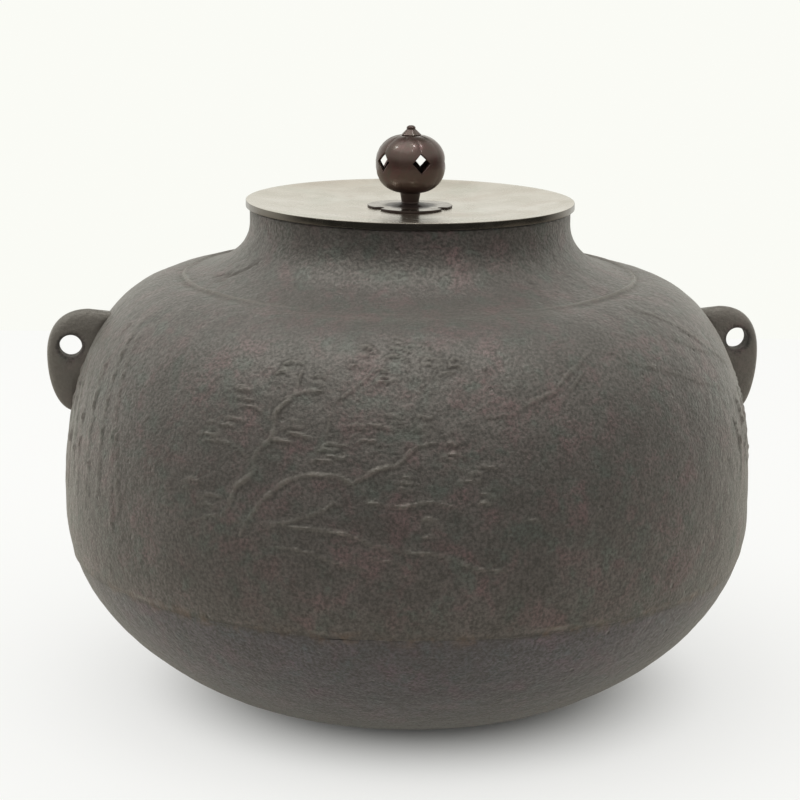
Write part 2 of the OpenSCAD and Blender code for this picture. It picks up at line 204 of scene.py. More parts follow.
def start_group(name, inputs, outputs):
    """An empty node group with named sockets, and its inner input and output nodes."""
    tree = bpy.data.node_groups.new(name, "ShaderNodeTree")
    for socket, kind, value in inputs:
        made = tree.interface.new_socket(socket, in_out="INPUT", socket_type=kind)
        made.default_value = value
    for socket, kind in outputs:
        tree.interface.new_socket(socket, in_out="OUTPUT", socket_type=kind)
    return tree, tree.nodes.new("NodeGroupInput"), tree.nodes.new("NodeGroupOutput")


def use_group(tree, group, **inputs):
    """A copy of a node group in a material, with its own values."""
    return add_node(tree, "ShaderNodeGroup", {"node_tree": group}, **inputs)


# %% [markdown]
# ## Light and stage
# Dark iron shows its form by what it mirrors at a slant, so the room matters more than the lamps. A room
# of walls could be built, but walls would stand in the way of other views. Here the world is the pale
# wall for camera and mirror rays. Mirror rays find it dim low down on the viewer's side, and in one spot
# high up behind the kettle. All other rays get a gentler glow. One wide lamp above gives the soft shadow,
# and three small ones, like far windows, only put gleams on what shines, such as the knob.

# %% Colours and dim places of the room
scene.view_settings.view_transform = "Standard"
wall_white = (0.960, 0.965, 0.915, 1)
room_tone = (1.0, 0.995, 0.97, 1)
low_glow = 0.88
high_glow = 0.68
glow_fade = (0.15, 0.95)
dark_front = 0.05
dark_turn = math.radians(12)
dark_side = math.sin(dark_turn) * right_hand - math.cos(dark_turn) * ahead
front_fade = (-0.65, 0.07)
low_fade = (0.10, 0.50)
spot_up = math.radians(56)
spot_way = math.cos(spot_up) * ahead + Vector((0, 0, math.sin(spot_up)))
spot_fade = (0.88, 0.97)
spot_dimming = 0.80
print("dim side:", dark_side, "dim spot:", spot_way)

# %% Paint the world
world = bpy.data.worlds.new("room")
scene.world = world
world.use_nodes = True
room = world.node_tree
room.nodes.clear()
ray = room.nodes.new("ShaderNodeLightPath")
bearing = room.nodes.new("ShaderNodeTexCoord").outputs["Generated"]
rising = upward_part(room, bearing)
in_front = between(room, measure(room, "DOT_PRODUCT", bearing, dark_side), *front_fade)
low_down = between(room, rising, *low_fade, 1.0, 0.0)
gloom = times(room, in_front, low_down, 1 - dark_front)
high_behind = between(room, measure(room, "DOT_PRODUCT", bearing, spot_way), *spot_fade, 0.0, spot_dimming)
mirrored_gloom = times(room, ray.outputs["Is Glossy Ray"], work_out(room, "MAXIMUM", gloom, high_behind))
wall = add_node(room, "ShaderNodeBackground", Color=wall_white,
                Strength=work_out(room, "SUBTRACT", 1.0, mirrored_gloom))
glow = add_node(room, "ShaderNodeBackground", Color=room_tone,
                Strength=between(room, rising, *glow_fade, low_glow, high_glow))
seen = ray.outputs["Is Camera Ray"]
for kind in ("Is Glossy Ray", "Is Transmission Ray"):
    seen = work_out(room, "MAXIMUM", seen, ray.outputs[kind])
add_node(room, "ShaderNodeOutputWorld",
         Surface=mix_shaders(room, seen, glow.outputs["Background"], wall.outputs["Background"]))
print("world:", world.name)

# %% Lay the floor
floor_back = 0.731
floor_front = -0.34
floor_side = 0.9
floor_drop = 0.1 * mm
paper_white = (0.965, 0.975, 0.955, 1)
paper_shaded_in_mirrors = (0.60, 0.56, 0.49, 1)
corners = [(-floor_side, floor_front), (floor_side, floor_front), (floor_side, floor_back),
           (-floor_side, floor_back)]
floor_points = [aside * right_hand + away * ahead - Vector((0, 0, floor_drop)) for aside, away in corners]
floor_mesh = bpy.data.meshes.new("floor")
floor_mesh.from_pydata(floor_points, [], [(0, 1, 2, 3)])
floor = bpy.data.objects.new("floor", floor_mesh)
scene.collection.objects.link(floor)
floor_paper = bpy.data.materials.new("floor_paper")
floor_paper.use_nodes = True
tree = floor_paper.node_tree
floor_shader = tree.nodes["Principled BSDF"]
floor_ray = tree.nodes.new("ShaderNodeLightPath")
# Mirror rays see the floor in a darker colour: painted shade in the floor's reflection on the kettle.
floor_tone = blend_colours(tree, floor_ray.outputs["Is Glossy Ray"], paper_white, paper_shaded_in_mirrors)
feed_all(tree, floor_shader, Base_Color=floor_tone, Roughness=0.85, Specular_IOR_Level=0.1)
print("floor:", 2 * floor_side, "by", floor_back - floor_front, "m")

# %% Lift the floor's shade for the camera
clear_share = 0.64
foot_shade = (58 * mm, 126 * mm)
shade_middle = 8 * mm * right_hand
lift_white = (1.0, 1.0, 0.985, 1)
from_middle = measure(tree, "DISTANCE", place_on_piece(tree), shade_middle)
lift_share = times(tree, between(tree, from_middle, *foot_shade, 0.0, clear_share),
                   floor_ray.outputs["Is Camera Ray"])
white = add_node(tree, "ShaderNodeEmission", Color=lift_white, Strength=1.0)
lifted = mix_shaders(tree, lift_share, floor_shader.outputs["BSDF"], white.outputs["Emission"])
feed(tree, tree.nodes["Material Output"].inputs["Surface"], lifted)
floor_mesh.materials.append(floor_paper)
print("floor shade lifted by", clear_share)


# %% Hang the lamps
def hang_lamp(name, aside, away, up, size, power):
    """A lamp at a place, as wide and tall as its size says, turned towards the middle of the kettle."""
    data = bpy.data.lights.new(name, "AREA")
    data.shape = "RECTANGLE"
    data.size, data.size_y = size
    data.energy = power
    lamp = bpy.data.objects.new(name, data)
    lamp.location = aside * right_hand + away * ahead + Vector((0, 0, up))
    lamp.rotation_euler = (cad_box[1] / 2 - lamp.location).to_track_quat("-Z", "Y").to_euler()
    scene.collection.objects.link(lamp)
    return lamp


lamps = [
    hang_lamp("ceiling_lamp", -0.36, -0.25, 1.9, (1.7, 1.7), 11),
    hang_lamp("right_window", 0.23, -0.11, 1.50, (0.12, 0.17), 2.0),
    hang_lamp("low_window", 0.11, -0.67, 1.32, (0.08, 0.15), 0.6),
    hang_lamp("left_window", -0.68, -0.03, 1.32, (0.11, 0.17), 1.8),
]
for window in lamps[1:]:
    window.visible_diffuse = False
print("lamps:", [lamp.name for lamp in lamps])

# %% [markdown]
# ## The skin of cast iron
# Iron poured into a sand and clay mould takes the grain of the mould: a fine tooth, scattered pin holes,
# and a slow drift of colour where the surface was fired and rubbed. A picture of iron could be wrapped
# round the kettle, but it would stretch. Noise in three sizes, in a node group, gives grain, pits and
# drift to every piece that was cast or filed.

# %% Node group for cast grain
FLOAT = "NodeSocketFloat"
COLOUR = "NodeSocketColor"
swell_size = 0.28
swell_height = 1.6
pit_depth = 0.9
pit_reach = (0.05, 0.17)
cast_grain, grain_in, grain_out = start_group(
    "cast_grain",
    [("Grain", FLOAT, 900.0), ("Drift", FLOAT, 28.0), ("Pit Spacing", FLOAT, 160.0),
     ("Pit Share", FLOAT, 0.35)],
    [("Height", FLOAT), ("Pits", FLOAT), ("Drift", FLOAT), ("Speckle", FLOAT)],
)
spot = place_on_piece(cast_grain)
tooth = add_node(cast_grain, "ShaderNodeTexNoise", Vector=spot, Scale=grain_in.outputs["Grain"],
                 Detail=3.0, Roughness=0.6)
swell = add_node(cast_grain, "ShaderNodeTexNoise", Vector=spot, Detail=2.0, Roughness=0.5,
                 Scale=times(cast_grain, grain_in.outputs["Grain"], swell_size))
drift = add_node(cast_grain, "ShaderNodeTexNoise", Vector=spot, Scale=grain_in.outputs["Drift"],
                 Detail=4.0, Roughness=0.62, Distortion=0.4)
pores = add_node(cast_grain, "ShaderNodeTexVoronoi", Vector=spot, Scale=grain_in.outputs["Pit Spacing"])
pore_pick = add_node(cast_grain, "ShaderNodeSeparateColor", Color=pores.outputs["Color"])
chosen = work_out(cast_grain, "LESS_THAN", pore_pick.outputs["Red"], grain_in.outputs["Pit Share"])
pits = times(cast_grain, chosen, between(cast_grain, pores.outputs["Distance"], *pit_reach, 1.0, 0.0))
relief_sum = work_out(cast_grain, "ADD", tooth.outputs["Fac"],
                      times(cast_grain, swell.outputs["Fac"], swell_height))
height = work_out(cast_grain, "SUBTRACT", relief_sum, times(cast_grain, pits, pit_depth))
feed_all(cast_grain, grain_out, Height=height, Pits=pits, Drift=drift.outputs["Fac"],
         Speckle=tooth.outputs["Fac"])
print("group:", cast_grain.name)

# %% [markdown]
# ## Patches of rust and patina
# Old metal is never one colour. Iron blooms orange where water stands, and bronze turns from brown to
# plum and olive where hands have warmed it. Both are the same thing to a painter: two or three tints that
# fade into each other over a few millimetres. One group gives the cloud of tints, and each metal brings
# its own.

# %% Node group for clouded tints
warm_edge = (0.46, 0.68)
cool_edge = (0.48, 0.70)
cool_scale = 1.35
cool_offset = (0.31, 0.17, 0.23)
clouded, cloud_in, cloud_out = start_group(
    "clouded_tints",
    [("Ground", COLOUR, (0.1, 0.1, 0.1, 1)), ("Warm", COLOUR, (0.12, 0.1, 0.1, 1)),
     ("Cool", COLOUR, (0.1, 0.12, 0.1, 1)), ("Size", FLOAT, 40.0), ("Strength", FLOAT, 0.6)],
    [("Colour", COLOUR), ("Mask", FLOAT)],
)
spot = place_on_piece(clouded)
warm_cloud = add_node(clouded, "ShaderNodeTexNoise", Vector=spot, Scale=cloud_in.outputs["Size"],
                      Detail=5.0, Roughness=0.6, Distortion=0.5)
shifted = add_node(clouded, "ShaderNodeMapping", Vector=spot, Location=cool_offset)
cool_cloud = add_node(clouded, "ShaderNodeTexNoise", Vector=shifted.outputs["Vector"], Detail=5.0,
                      Roughness=0.6, Scale=times(clouded, cloud_in.outputs["Size"], cool_scale))
warm_share = times(clouded, between(clouded, warm_cloud.outputs["Fac"], *warm_edge),
                   cloud_in.outputs["Strength"])
cool_share = times(clouded, between(clouded, cool_cloud.outputs["Fac"], *cool_edge),
                   cloud_in.outputs["Strength"])
warmed = blend_colours(clouded, warm_share, cloud_in.outputs["Ground"], cloud_in.outputs["Warm"])
tinted = blend_colours(clouded, cool_share, warmed, cloud_in.outputs["Cool"])
feed_all(clouded, cloud_out, Colour=tinted, Mask=warm_share)
print("group:", clouded.name)


# %% [markdown]
# ## The finishes
# The iron is a dull, dark brown grey. It could be a metal shader, but its skin is oxide and old lacquer,
# so a plain surface with a broad sheen comes closer. The bronze of the lid is true metal with a thin
# brown film, and the knob has a darker film, thick enough to hide most of the metal's own gleam. Some
# amounts, such as dirt, wear, painted shade and painted highlights, are kept on the points of a mesh when
# it is made, and a finish reads them from there.

# %% Start a finish
noise_range = (0.3, 0.7)


def start_finish(slot):
    """A material for one of the record's finishes, with its node tree and its shader."""
    finish = bpy.data.materials.new(slot + "_finish")
    finish.use_nodes = True
    tree = finish.node_tree
    return finish, tree, tree.nodes["Principled BSDF"]


def press_grain(tree, shader, height, depth, strength):
    """Turns a height into fine relief on the surface."""
    bump = add_node(tree, "ShaderNodeBump", Height=height, Distance=depth, Strength=strength)
    feed(tree, shader.inputs["Normal"], bump.outputs["Normal"])


def read_mark(tree, label):
    """An amount that is kept on the points of a mesh, or 0 where the mesh has none."""
    return add_node(tree, "ShaderNodeAttribute", {"attribute_name": label}).outputs["Fac"]


# %% [markdown]
# ## Cast iron
# Body, pan and lugs share one skin. Plum and olive clouds drift over a dark brown grey, and grain and
# pits break it up. Dirt and painted shade lie in the crooks of the picture and below the shoulder ring,
# and the insides of the lugs' eyes are darker. The picture's ridges are rubbed bare and carry a painted
# highlight, the ring carries a painted highlight, and the faces of the lugs are painted lighter as
# painted light. The pan has been scoured more often and looks a little bluer. Along the seam a dark line
# of old lacquer shows in patches, with chipped iron just above it and a bloom of rust. All this could be
# painted by hand, but masks made of height and noise stay right when a size changes.

# %% Colours of the cast skin
seam_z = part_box("kettle_body")[0].z
pit_black = (0.018, 0.015, 0.013, 1)
# Dark colour for the crooks and below the ring: dirt and painted shade.
crook_dirt_and_shade = (0.026, 0.022, 0.019, 1)
# Light colour for bare iron at the chips, and for ridges: rubbed wear and a painted highlight.
bare_iron_and_highlight = (0.115, 0.102, 0.086, 1)
scoured_tint = (0.81, 0.86, 1.18, 1)
pit_share = 0.5
dirt_and_shade_share = 0.45
rubbed_and_highlight_share = 0.8
cast_iron, tree, shader = start_finish("cast_iron_skin")
skin_grain = use_group(tree, cast_grain, Grain=850.0, Drift=40.0, Pit_Spacing=150.0, Pit_Share=0.25)
tints = use_group(tree, clouded, Ground=(0.0435, 0.0358, 0.034, 1), Warm=(0.061, 0.034, 0.036, 1),
                  Cool=(0.0345, 0.041, 0.0355, 1), Size=80.0, Strength=1.0)
shade = between(tree, skin_grain.outputs["Drift"], 0.35, 0.65, 0.86, 1.16)
fine = between(tree, skin_grain.outputs["Speckle"], *noise_range, 0.38, 1.62)
tone = times(tree, shade, fine)
grey = add_node(tree, "ShaderNodeCombineColor", Red=tone, Green=tone, Blue=tone).outputs["Color"]
toned = blend_colours(tree, 1.0, tints.outputs["Colour"], grey, "MULTIPLY")
pitted = blend_colours(tree, times(tree, skin_grain.outputs["Pits"], pit_share), toned, pit_black)
crook = read_mark(tree, "hollow")
# Crooks of the picture and the skin below the ring are darkened with dirt and painted shade, and the insides
# of the lugs' eyes are darkened too.
dirty_and_shaded = blend_colours(tree, times(tree, crook, dirt_and_shade_share), pitted, crook_dirt_and_shade)
# Stroke ridges are lightened with rubbed wear and a painted highlight, the ring bead with a painted
# highlight, and the lugs' faces as painted light.
rubbed_and_highlit = blend_colours(tree, times(tree, read_mark(tree, "relief"), rubbed_and_highlight_share), dirty_and_shaded, bare_iron_and_highlight)
height_on_piece = upward_part(tree, place_on_piece(tree))
scoured = blend_colours(tree, work_out(tree, "LESS_THAN", height_on_piece, seam_z), rubbed_and_highlit,
                        blend_colours(tree, 1.0, rubbed_and_highlit, scoured_tint, "MULTIPLY"))
print("pan scoured below", round(seam_z / mm, 1), "mm")

# %% Line, chips and rust along the seam
seam_black = (0.014, 0.012, 0.010, 1)
rust_brown = (0.105, 0.052, 0.028, 1)
line_reach = (0.4 * mm, 1.8 * mm)
chip_z = seam_z + 1.8 * mm
chip_reach = (0.2 * mm, 1.2 * mm)
chip_most = 0.8
rust_reach = (0.4 * mm, 4.5 * mm)
rust_most = 0.45


def close_to(level, reach):
    """A share that is 1 at a level of the piece and fades to 0 a reach above and below it."""
    off = work_out(tree, "ABSOLUTE", work_out(tree, "SUBTRACT", height_on_piece, level), 0.0)
    return between(tree, off, *reach, 1.0, 0.0)


line_patches = between(tree, skin_grain.outputs["Drift"], 0.35, 0.60, 0.20, 0.65)
lined = blend_colours(tree, times(tree, close_to(seam_z, line_reach), line_patches), scoured, seam_black)
chip_share = times(tree, close_to(chip_z, chip_reach), chip_most, tints.outputs["Mask"])
chipped = blend_colours(tree, chip_share, lined, bare_iron_and_highlight)
rust = use_group(tree, clouded, Size=130.0, Strength=1.0)
rust_share = times(tree, close_to(seam_z, rust_reach), rust.outputs["Mask"], rust_most)
rusted = blend_colours(tree, rust_share, chipped, rust_brown)
print("seam line and rust at", round(seam_z / mm, 1), "mm, chips at", round(chip_z / mm, 1), "mm")

# %% Gloss of the cast skin
dirt_and_shade_rough = 0.35
polish = between(tree, skin_grain.outputs["Speckle"], *noise_range, 0.60, 0.42)
rough = work_out(tree, "ADD", polish, times(tree, crook, dirt_and_shade_rough))
feed_all(tree, shader, Base_Color=rusted, Roughness=rough, Specular_IOR_Level=0.9,
         Specular_Tint=(1.0, 0.968, 0.87, 1), Sheen_Weight=0.31, Sheen_Roughness=0.5,
         Sheen_Tint=(1.0, 0.968, 0.86, 1))
press_grain(tree, shader, skin_grain.outputs["Height"], 0.36 * mm, 0.8)
print("finish:", cast_iron.name)


# %% Bare iron of the singing plates, and lacquer of seam and beds
def rough_finish(slot, metal, gloss, depth, grain, tints):
    """A simple finish: clouded colours, a roughness that drifts between two limits, and pressed grain."""
    finish, tree, shader = start_finish(slot)
    tooth = use_group(tree, cast_grain, **grain)
    cloud = use_group(tree, clouded, **tints)
    rough = between(tree, tooth.outputs["Drift"], *noise_range, *gloss)
    feed_all(tree, shader, Base_Color=cloud.outputs["Colour"], Roughness=rough, Metallic=metal)
    press_grain(tree, shader, tooth.outputs["Height"], depth, 0.6)
    return finish


plate_iron = rough_finish(
    "plate_iron", 0.3, (0.45, 0.75), 0.12 * mm,
    dict(Grain=700.0, Drift=90.0, Pit_Spacing=240.0, Pit_Share=0.4),
    dict(Ground=(0.040, 0.036, 0.034, 1), Warm=(0.110, 0.050, 0.024, 1), Cool=(0.030, 0.032, 0.034, 1),
         Size=160.0, Strength=0.7))
lacquer = rough_finish(
    "lacquer", 0.0, (0.30, 0.5), 0.10 * mm,
    dict(Grain=1100.0, Drift=150.0, Pit_Spacing=420.0, Pit_Share=0.3),
    dict(Ground=(0.030, 0.018, 0.014, 1), Warm=(0.055, 0.028, 0.018, 1), Cool=(0.020, 0.018, 0.016, 1),
         Size=220.0, Strength=0.8))
print("finishes:", plate_iron.name, lacquer.name)

# %% Brown bronze of the lid
stain_brown = (0.22, 0.16, 0.12, 1)
rim_film_and_shade = (0.125, 0.110, 0.094, 1)
stain_share = 0.35
steep_fade = (0.80, 0.97)
rim_film_and_shade_share = 0.88
lid_bronze, tree, shader = start_finish("lid_bronze")
lid_tints = use_group(tree, clouded, Ground=(0.59, 0.54, 0.455, 1), Warm=(0.53, 0.45, 0.36, 1),
                      Cool=(0.52, 0.50, 0.41, 1), Size=26.0, Strength=0.7)
lid_grain = use_group(tree, cast_grain, Grain=1500.0, Drift=60.0, Pit_Spacing=300.0, Pit_Share=0.12)
stained = blend_colours(tree, times(tree, lid_grain.outputs["Pits"], stain_share),
                        lid_tints.outputs["Colour"], stain_brown)
# Steep faces, such as the upright rim, are darkened: a film that the rim keeps, and painted shade.
level = upward_part(tree, tree.nodes.new("ShaderNodeTexCoord").outputs["Normal"])
rim_film_and_shade_mask = between(tree, level, *steep_fade, rim_film_and_shade_share, 0.0)
rough = between(tree, lid_grain.outputs["Drift"], *noise_range, 0.20, 0.30)
feed_all(tree, shader, Base_Color=blend_colours(tree, rim_film_and_shade_mask, stained, rim_film_and_shade), Roughness=rough,
         Metallic=1.0)
press_grain(tree, shader, lid_grain.outputs["Height"], 0.02 * mm, 0.35)
print("finish:", lid_bronze.name)

# %% Dark bronze of the knob
knob_painted_shade = (0.020, 0.013, 0.011, 1)
painted_reflection_bronze = (0.16, 0.134, 0.102, 1)
knob_shade_share = 0.8
knob_shade_rough = 0.35
bright_flat_smooth = 0.10
dark_bronze, tree, shader = start_finish("dark_bronze")
knob_tints = use_group(tree, clouded, Ground=(0.074, 0.045, 0.037, 1), Warm=(0.090, 0.038, 0.037, 1),
                       Cool=(0.066, 0.052, 0.038, 1), Size=150.0, Strength=0.8)
knob_grain = use_group(tree, cast_grain, Grain=1600.0, Drift=170.0, Pit_Spacing=600.0, Pit_Share=0.15)
# The seat's edge and boss, the whole stem and the ball's underside are darkened and roughened: painted shade.
painted_shade_mask = read_mark(tree, "hollow")
# The seat's flat is lightened as a painted reflection of the pale room, and made smoother and more metallic.
polish_and_painted_reflection = read_mark(tree, "relief")
film_and_painted_shade = blend_colours(tree, times(tree, painted_shade_mask, knob_shade_share), knob_tints.outputs["Colour"], knob_painted_shade)
drifting = between(tree, knob_grain.outputs["Drift"], *noise_range, 0.28, 0.40)
rough = work_out(tree, "ADD", drifting, times(tree, painted_shade_mask, knob_shade_rough))
feed_all(tree, shader, Base_Color=blend_colours(tree, polish_and_painted_reflection, film_and_painted_shade, painted_reflection_bronze),
         Roughness=work_out(tree, "SUBTRACT", rough, times(tree, polish_and_painted_reflection, bright_flat_smooth)),
         Metallic=between(tree, polish_and_painted_reflection, 0.0, 1.0, 0.5, 1.0), Coat_Weight=0.32, Coat_Roughness=0.07,
         Coat_Tint=(1.0, 0.93, 0.84, 1))
press_grain(tree, shader, knob_grain.outputs["Height"], 0.02 * mm, 0.25)
print("finish:", dark_bronze.name)

# %% [markdown]
# ## Turning and skinning
# Nearly every piece is round, as if it came off a lathe or out of a mould that was swept with a board.
# Blender can spin a curve with a modifier, but a mesh built row by row lets each point be moved before
# the skin is closed, which lumps, lobes and cast strokes need. Rows that shrink to one spot become a
# pole.

# %% Helpers for skins
def bezier(c, t):
    """Points of a cubic curve in the plane of radius and height."""
    c = np.asarray(c, float)
    t = np.asarray(t, float)[:, None]
    return (1 - t) ** 3 * c[0] + 3 * (1 - t) ** 2 * t * c[1] + 3 * (1 - t) * t * t * c[2] + t ** 3 * c[3]


def lean(line):
    """The outward direction at each point of a line that runs upward on the outside."""
    step = np.gradient(line, axis=0)
    out = np.stack([step[:, 1], -step[:, 0]], axis=1)
    return out / np.linalg.norm(out, axis=1)[:, None]


def rounded(corners, steps=5):
    """A line through (radius, height, rounding) corners, with an arc at each one that has a rounding."""
    spots = np.asarray([corner[:2] for corner in corners], float)
    line = []
    for i, corner in enumerate(corners):
        size = corner[2] if len(corner) > 2 else 0
        if not size:
            line.append(spots[i])
            continue
        back = spots[i - 1] - spots[i]
        onward = spots[(i + 1) % len(spots)] - spots[i]
        start = spots[i] + size * back / np.linalg.norm(back)
        end = spots[i] + size * onward / np.linalg.norm(onward)
        for t in np.linspace(0, 1, steps + 1):
            line.append((1 - t) ** 2 * start + 2 * (1 - t) * t * spots[i] + t * t * end)
    return np.array(line)


def round_the_axis(line, angles):
    """Rows of points: a line of (radius, height) turned to each angle about the upright axis."""
    r = line[:, 0][:, None]
    z = np.repeat(line[:, 1][:, None], len(angles), axis=1)
    return np.stack([r * np.cos(angles), r * np.sin(angles), z], axis=2)


pole_size = 0.0001 * mm


def skin(name, points, closed=True):
    """A mesh over rows of points, joined all round each row, and from the last row to the first if closed."""
    rows, columns = points.shape[:2]
    numbers = np.arange(rows * columns).reshape(rows, columns)
    for i in range(rows):
        if np.ptp(points[i], axis=0).max() < pole_size:
            numbers[i] = numbers[i, 0]
    faces = []
    for i in range(rows if closed else rows - 1):
        lower = numbers[i]
        upper = numbers[(i + 1) % rows]
        for j in range(columns):
            k = (j + 1) % columns
            face = dict.fromkeys((lower[j], lower[k], upper[k], upper[j]))
            if len(face) > 2:
                faces.append(tuple(face))
    return sew(name, points.reshape(-1, 3), faces)


def sew(name, points, faces, sharp=40, mend=None):
    """A smooth mesh, mended first if asked, with faces turned outward and edges past an angle kept sharp."""
    mesh = bpy.data.meshes.new(name)
    mesh.from_pydata([tuple(p) for p in points], [], faces)
    work = bmesh.new()
    work.from_mesh(mesh)
    loose = [v for v in work.verts if not v.link_faces]
    bmesh.ops.delete(work, geom=loose, context="VERTS")
    if mend:
        mend(work)
    bmesh.ops.recalc_face_normals(work, faces=work.faces)
    work.to_mesh(mesh)
    work.free()
    mesh.shade_smooth()
    mesh.set_sharp_from_angle(angle=math.radians(sharp))
    return mesh


def set_in_place(name, mesh, finish, body, *nodes):
    """Makes a piece of a mesh, gives it its finish and stands it for the solids it is named for."""
    piece = bpy.data.objects.new(name, mesh)
    scene.collection.objects.link(piece)
    mesh.materials.append(finish)
    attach(piece, body)
    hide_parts(*nodes)
    triangles = sum(len(face.vertices) - 2 for face in mesh.polygons)
    print(name, "has", triangles, "triangles")


def mark(mesh, label, amounts):
    """Keeps an amount from 0 to 1 for each of a mesh's first points, which a finish can read."""
    values = np.zeros(len(mesh.vertices))
    values[:np.size(amounts)] = np.clip(amounts, 0, 1).ravel()
    mesh.attributes.new(label, "FLOAT", "POINT").data.foreach_set("value", values)


def full_circle(count):
    """Evenly spaced angles round the axis."""
    return np.linspace(0, 2 * math.pi, count, endpoint=False)


# %% [markdown]
# ## The kettle's outline
# A founder sweeps the mould with one wooden board, so the whole outside is one outline: a bowl that rises
# from a small flat foot, a nearly upright belly, a full shoulder, and a hollow collar up to the neck.
# Three cubic curves and two short straights give it. The seam cuts it low on the bowl, where body and pan
# lap.

# %% Outline of bowl, shoulder and collar
body_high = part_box("kettle_body")[1]
belly_r = body_high.x
mouth_z = body_high.z
base_r = 58 * mm
belly_z = 81 * mm
belly_band = 7 * mm
wall_t = 3.2 * mm
floor_t = 4 * mm
lip_t = 4.4 * mm
neck_r = 64.4 * mm
neck_z = mouth_z - 4.8 * mm
ring_r = neck_r + 28 * mm
ring_z = mouth_z - 27.5 * mm
knee_z = belly_z - belly_band / 2
crown_z = belly_z + belly_band / 2
foot_slope = math.radians(7)
shoulder_slope = math.radians(4.6)
collar_slope = math.radians(13)
foot_pull = 0.44
knee_pull = 0.525
crown_pull = 0.515
shoulder_pull = 0.72
ring_pull = 0.8
collar_pull = 0.44
lip_start = mouth_z - 0.9 * mm


def reach(start, length, slope):
    """The point at a length and a slope from a start."""
    return (start[0] + length * math.cos(slope), start[1] + length * math.sin(slope))


bowl = [(base_r, 0), reach((base_r, 0), foot_pull * (belly_r - base_r), foot_slope),
        (belly_r, knee_z * (1 - knee_pull)), (belly_r, knee_z)]
shoulder = [(belly_r, crown_z), (belly_r, crown_z + crown_pull * (ring_z - crown_z)),
            reach((ring_r, ring_z), shoulder_pull * (belly_r - ring_r), -shoulder_slope), (ring_r, ring_z)]
collar = [(ring_r, ring_z), reach((ring_r, ring_z), ring_pull * (ring_r - neck_r), math.pi - collar_slope),
          (neck_r, neck_z - collar_pull * (neck_z - ring_z)), (neck_r, neck_z)]


def stretch(c, count, low=None, high=None):
    """Points of a rising curve, from one height to another if given."""
    even = np.linspace(0, 1, 400)
    heights = bezier(c, even)[:, 1]
    start = 0 if low is None else np.interp(low, heights, even)
    end = 1 if high is None else np.interp(high, heights, even)
    return bezier(c, np.linspace(start, end, count))


def lengths_along(line):
    """Length along a line at each of its points."""
    return np.concatenate([[0], np.cumsum(np.linalg.norm(np.diff(line, axis=0), axis=1))])


def spaced(line, places):
    """Points of a line at given lengths along it."""
    run = lengths_along(line)
    return np.stack([np.interp(places, run, line[:, 0]), np.interp(places, run, line[:, 1])], axis=1)


body_line = np.concatenate([
    stretch(bowl, 200, low=seam_z), stretch(shoulder, 600), stretch(collar, 300)[1:],
    [(neck_r, lip_start)],
])
height_run = lengths_along(body_line)
body_run = height_run[-1]
print("outline from seam to lip:", round(body_run / mm, 1), "mm")

# %% [markdown]
# ## The picture on the body
# The founder presses strokes into the soft mould, so they stand proud on the iron as thin worn ridges.
# This kettle has a plain shore scene of the traditional kind: pines, a beach line, far hills, reeds at
# one side and waves on the back. The strokes could be bump in the material, but then they would vanish
# from the edge of the belly and from the mesh. Each stroke is a few points of angle, in degrees to the
# right of the front, and height, in millimetres. A few shallow flaws are pressed in the same way.
# Blender's vector noise takes its seed from the clock unless one is set, so a set seed makes the hand
# waver alike on each run.

# %% A hand that draws strokes
picture_seed = 11
dice = random.Random(picture_seed)
noise.seed_set(picture_seed)
mm_per_degree = 2.4


def soft_line(points, step=0.35):
    """A smooth line through a few points, as a list of close points."""
    ends = [points[0], *points, points[-1]]
    line = []
    for a, b, c, d in zip(ends, ends[1:], ends[2:], ends[3:]):
        a, b, c, d = (np.array(p, float) for p in (a, b, c, d))
        count = max(2, int(np.linalg.norm((c - b) * (mm_per_degree, 1)) / step))
        for t in np.arange(count) / count:
            line.append(0.5 * (2 * b + (c - a) * t + (2 * a - 5 * b + 4 * c - d) * t * t
                               + (3 * b - a - 3 * c + d) * t ** 3))
    line.append(np.array(points[-1], float))
    return line


strokes = []
boldness = 1.6
thin_end = 0.45
hand_press = 0.45
hand_sway = 0.16
hand_bob = 0.4
waver_step = 0.15


def draw(points, width, rise):
    """One stroke of an unsteady hand that thins at both ends, with its width and rise in millimetres."""
    line = soft_line(points)
    start = len(strokes)
    for i, (angle, z) in enumerate(line):
        along = i / max(1, len(line) - 1)
        fullness = thin_end + (1 - thin_end) * math.sin(math.pi * (0.12 + 0.8 * along)) ** 0.7
        waver = noise.noise_vector(Vector((waver_step * i, start, 0.5)))
        fullness *= 1 + hand_press * waver.z
        strokes.append((angle + hand_sway * waver.x, z + hand_bob * waver.y, width * fullness,
                        boldness * rise * fullness))


def draw_pad(angle, z, half):
    """A pad of pine needles: a few short wavy strokes, one above another."""
    for layer in range(dice.randint(3, 4)):
        middle = angle + dice.uniform(-0.55, 0.55) * half
        span = half * dice.uniform(0.35, 0.85)
        level = z + 2.0 - 1.9 * layer + dice.uniform(-0.5, 0.5)
        tilt = dice.uniform(-0.8, 0.8)
        crest = dice.uniform(0.2, 1.0)
        draw([(middle - span, level - tilt), (middle - 0.3 * span, level + crest),
              (middle + 0.35 * span, level + 0.4 * crest), (middle + span, level + tilt)],
             0.95, dice.uniform(0.26, 0.42))


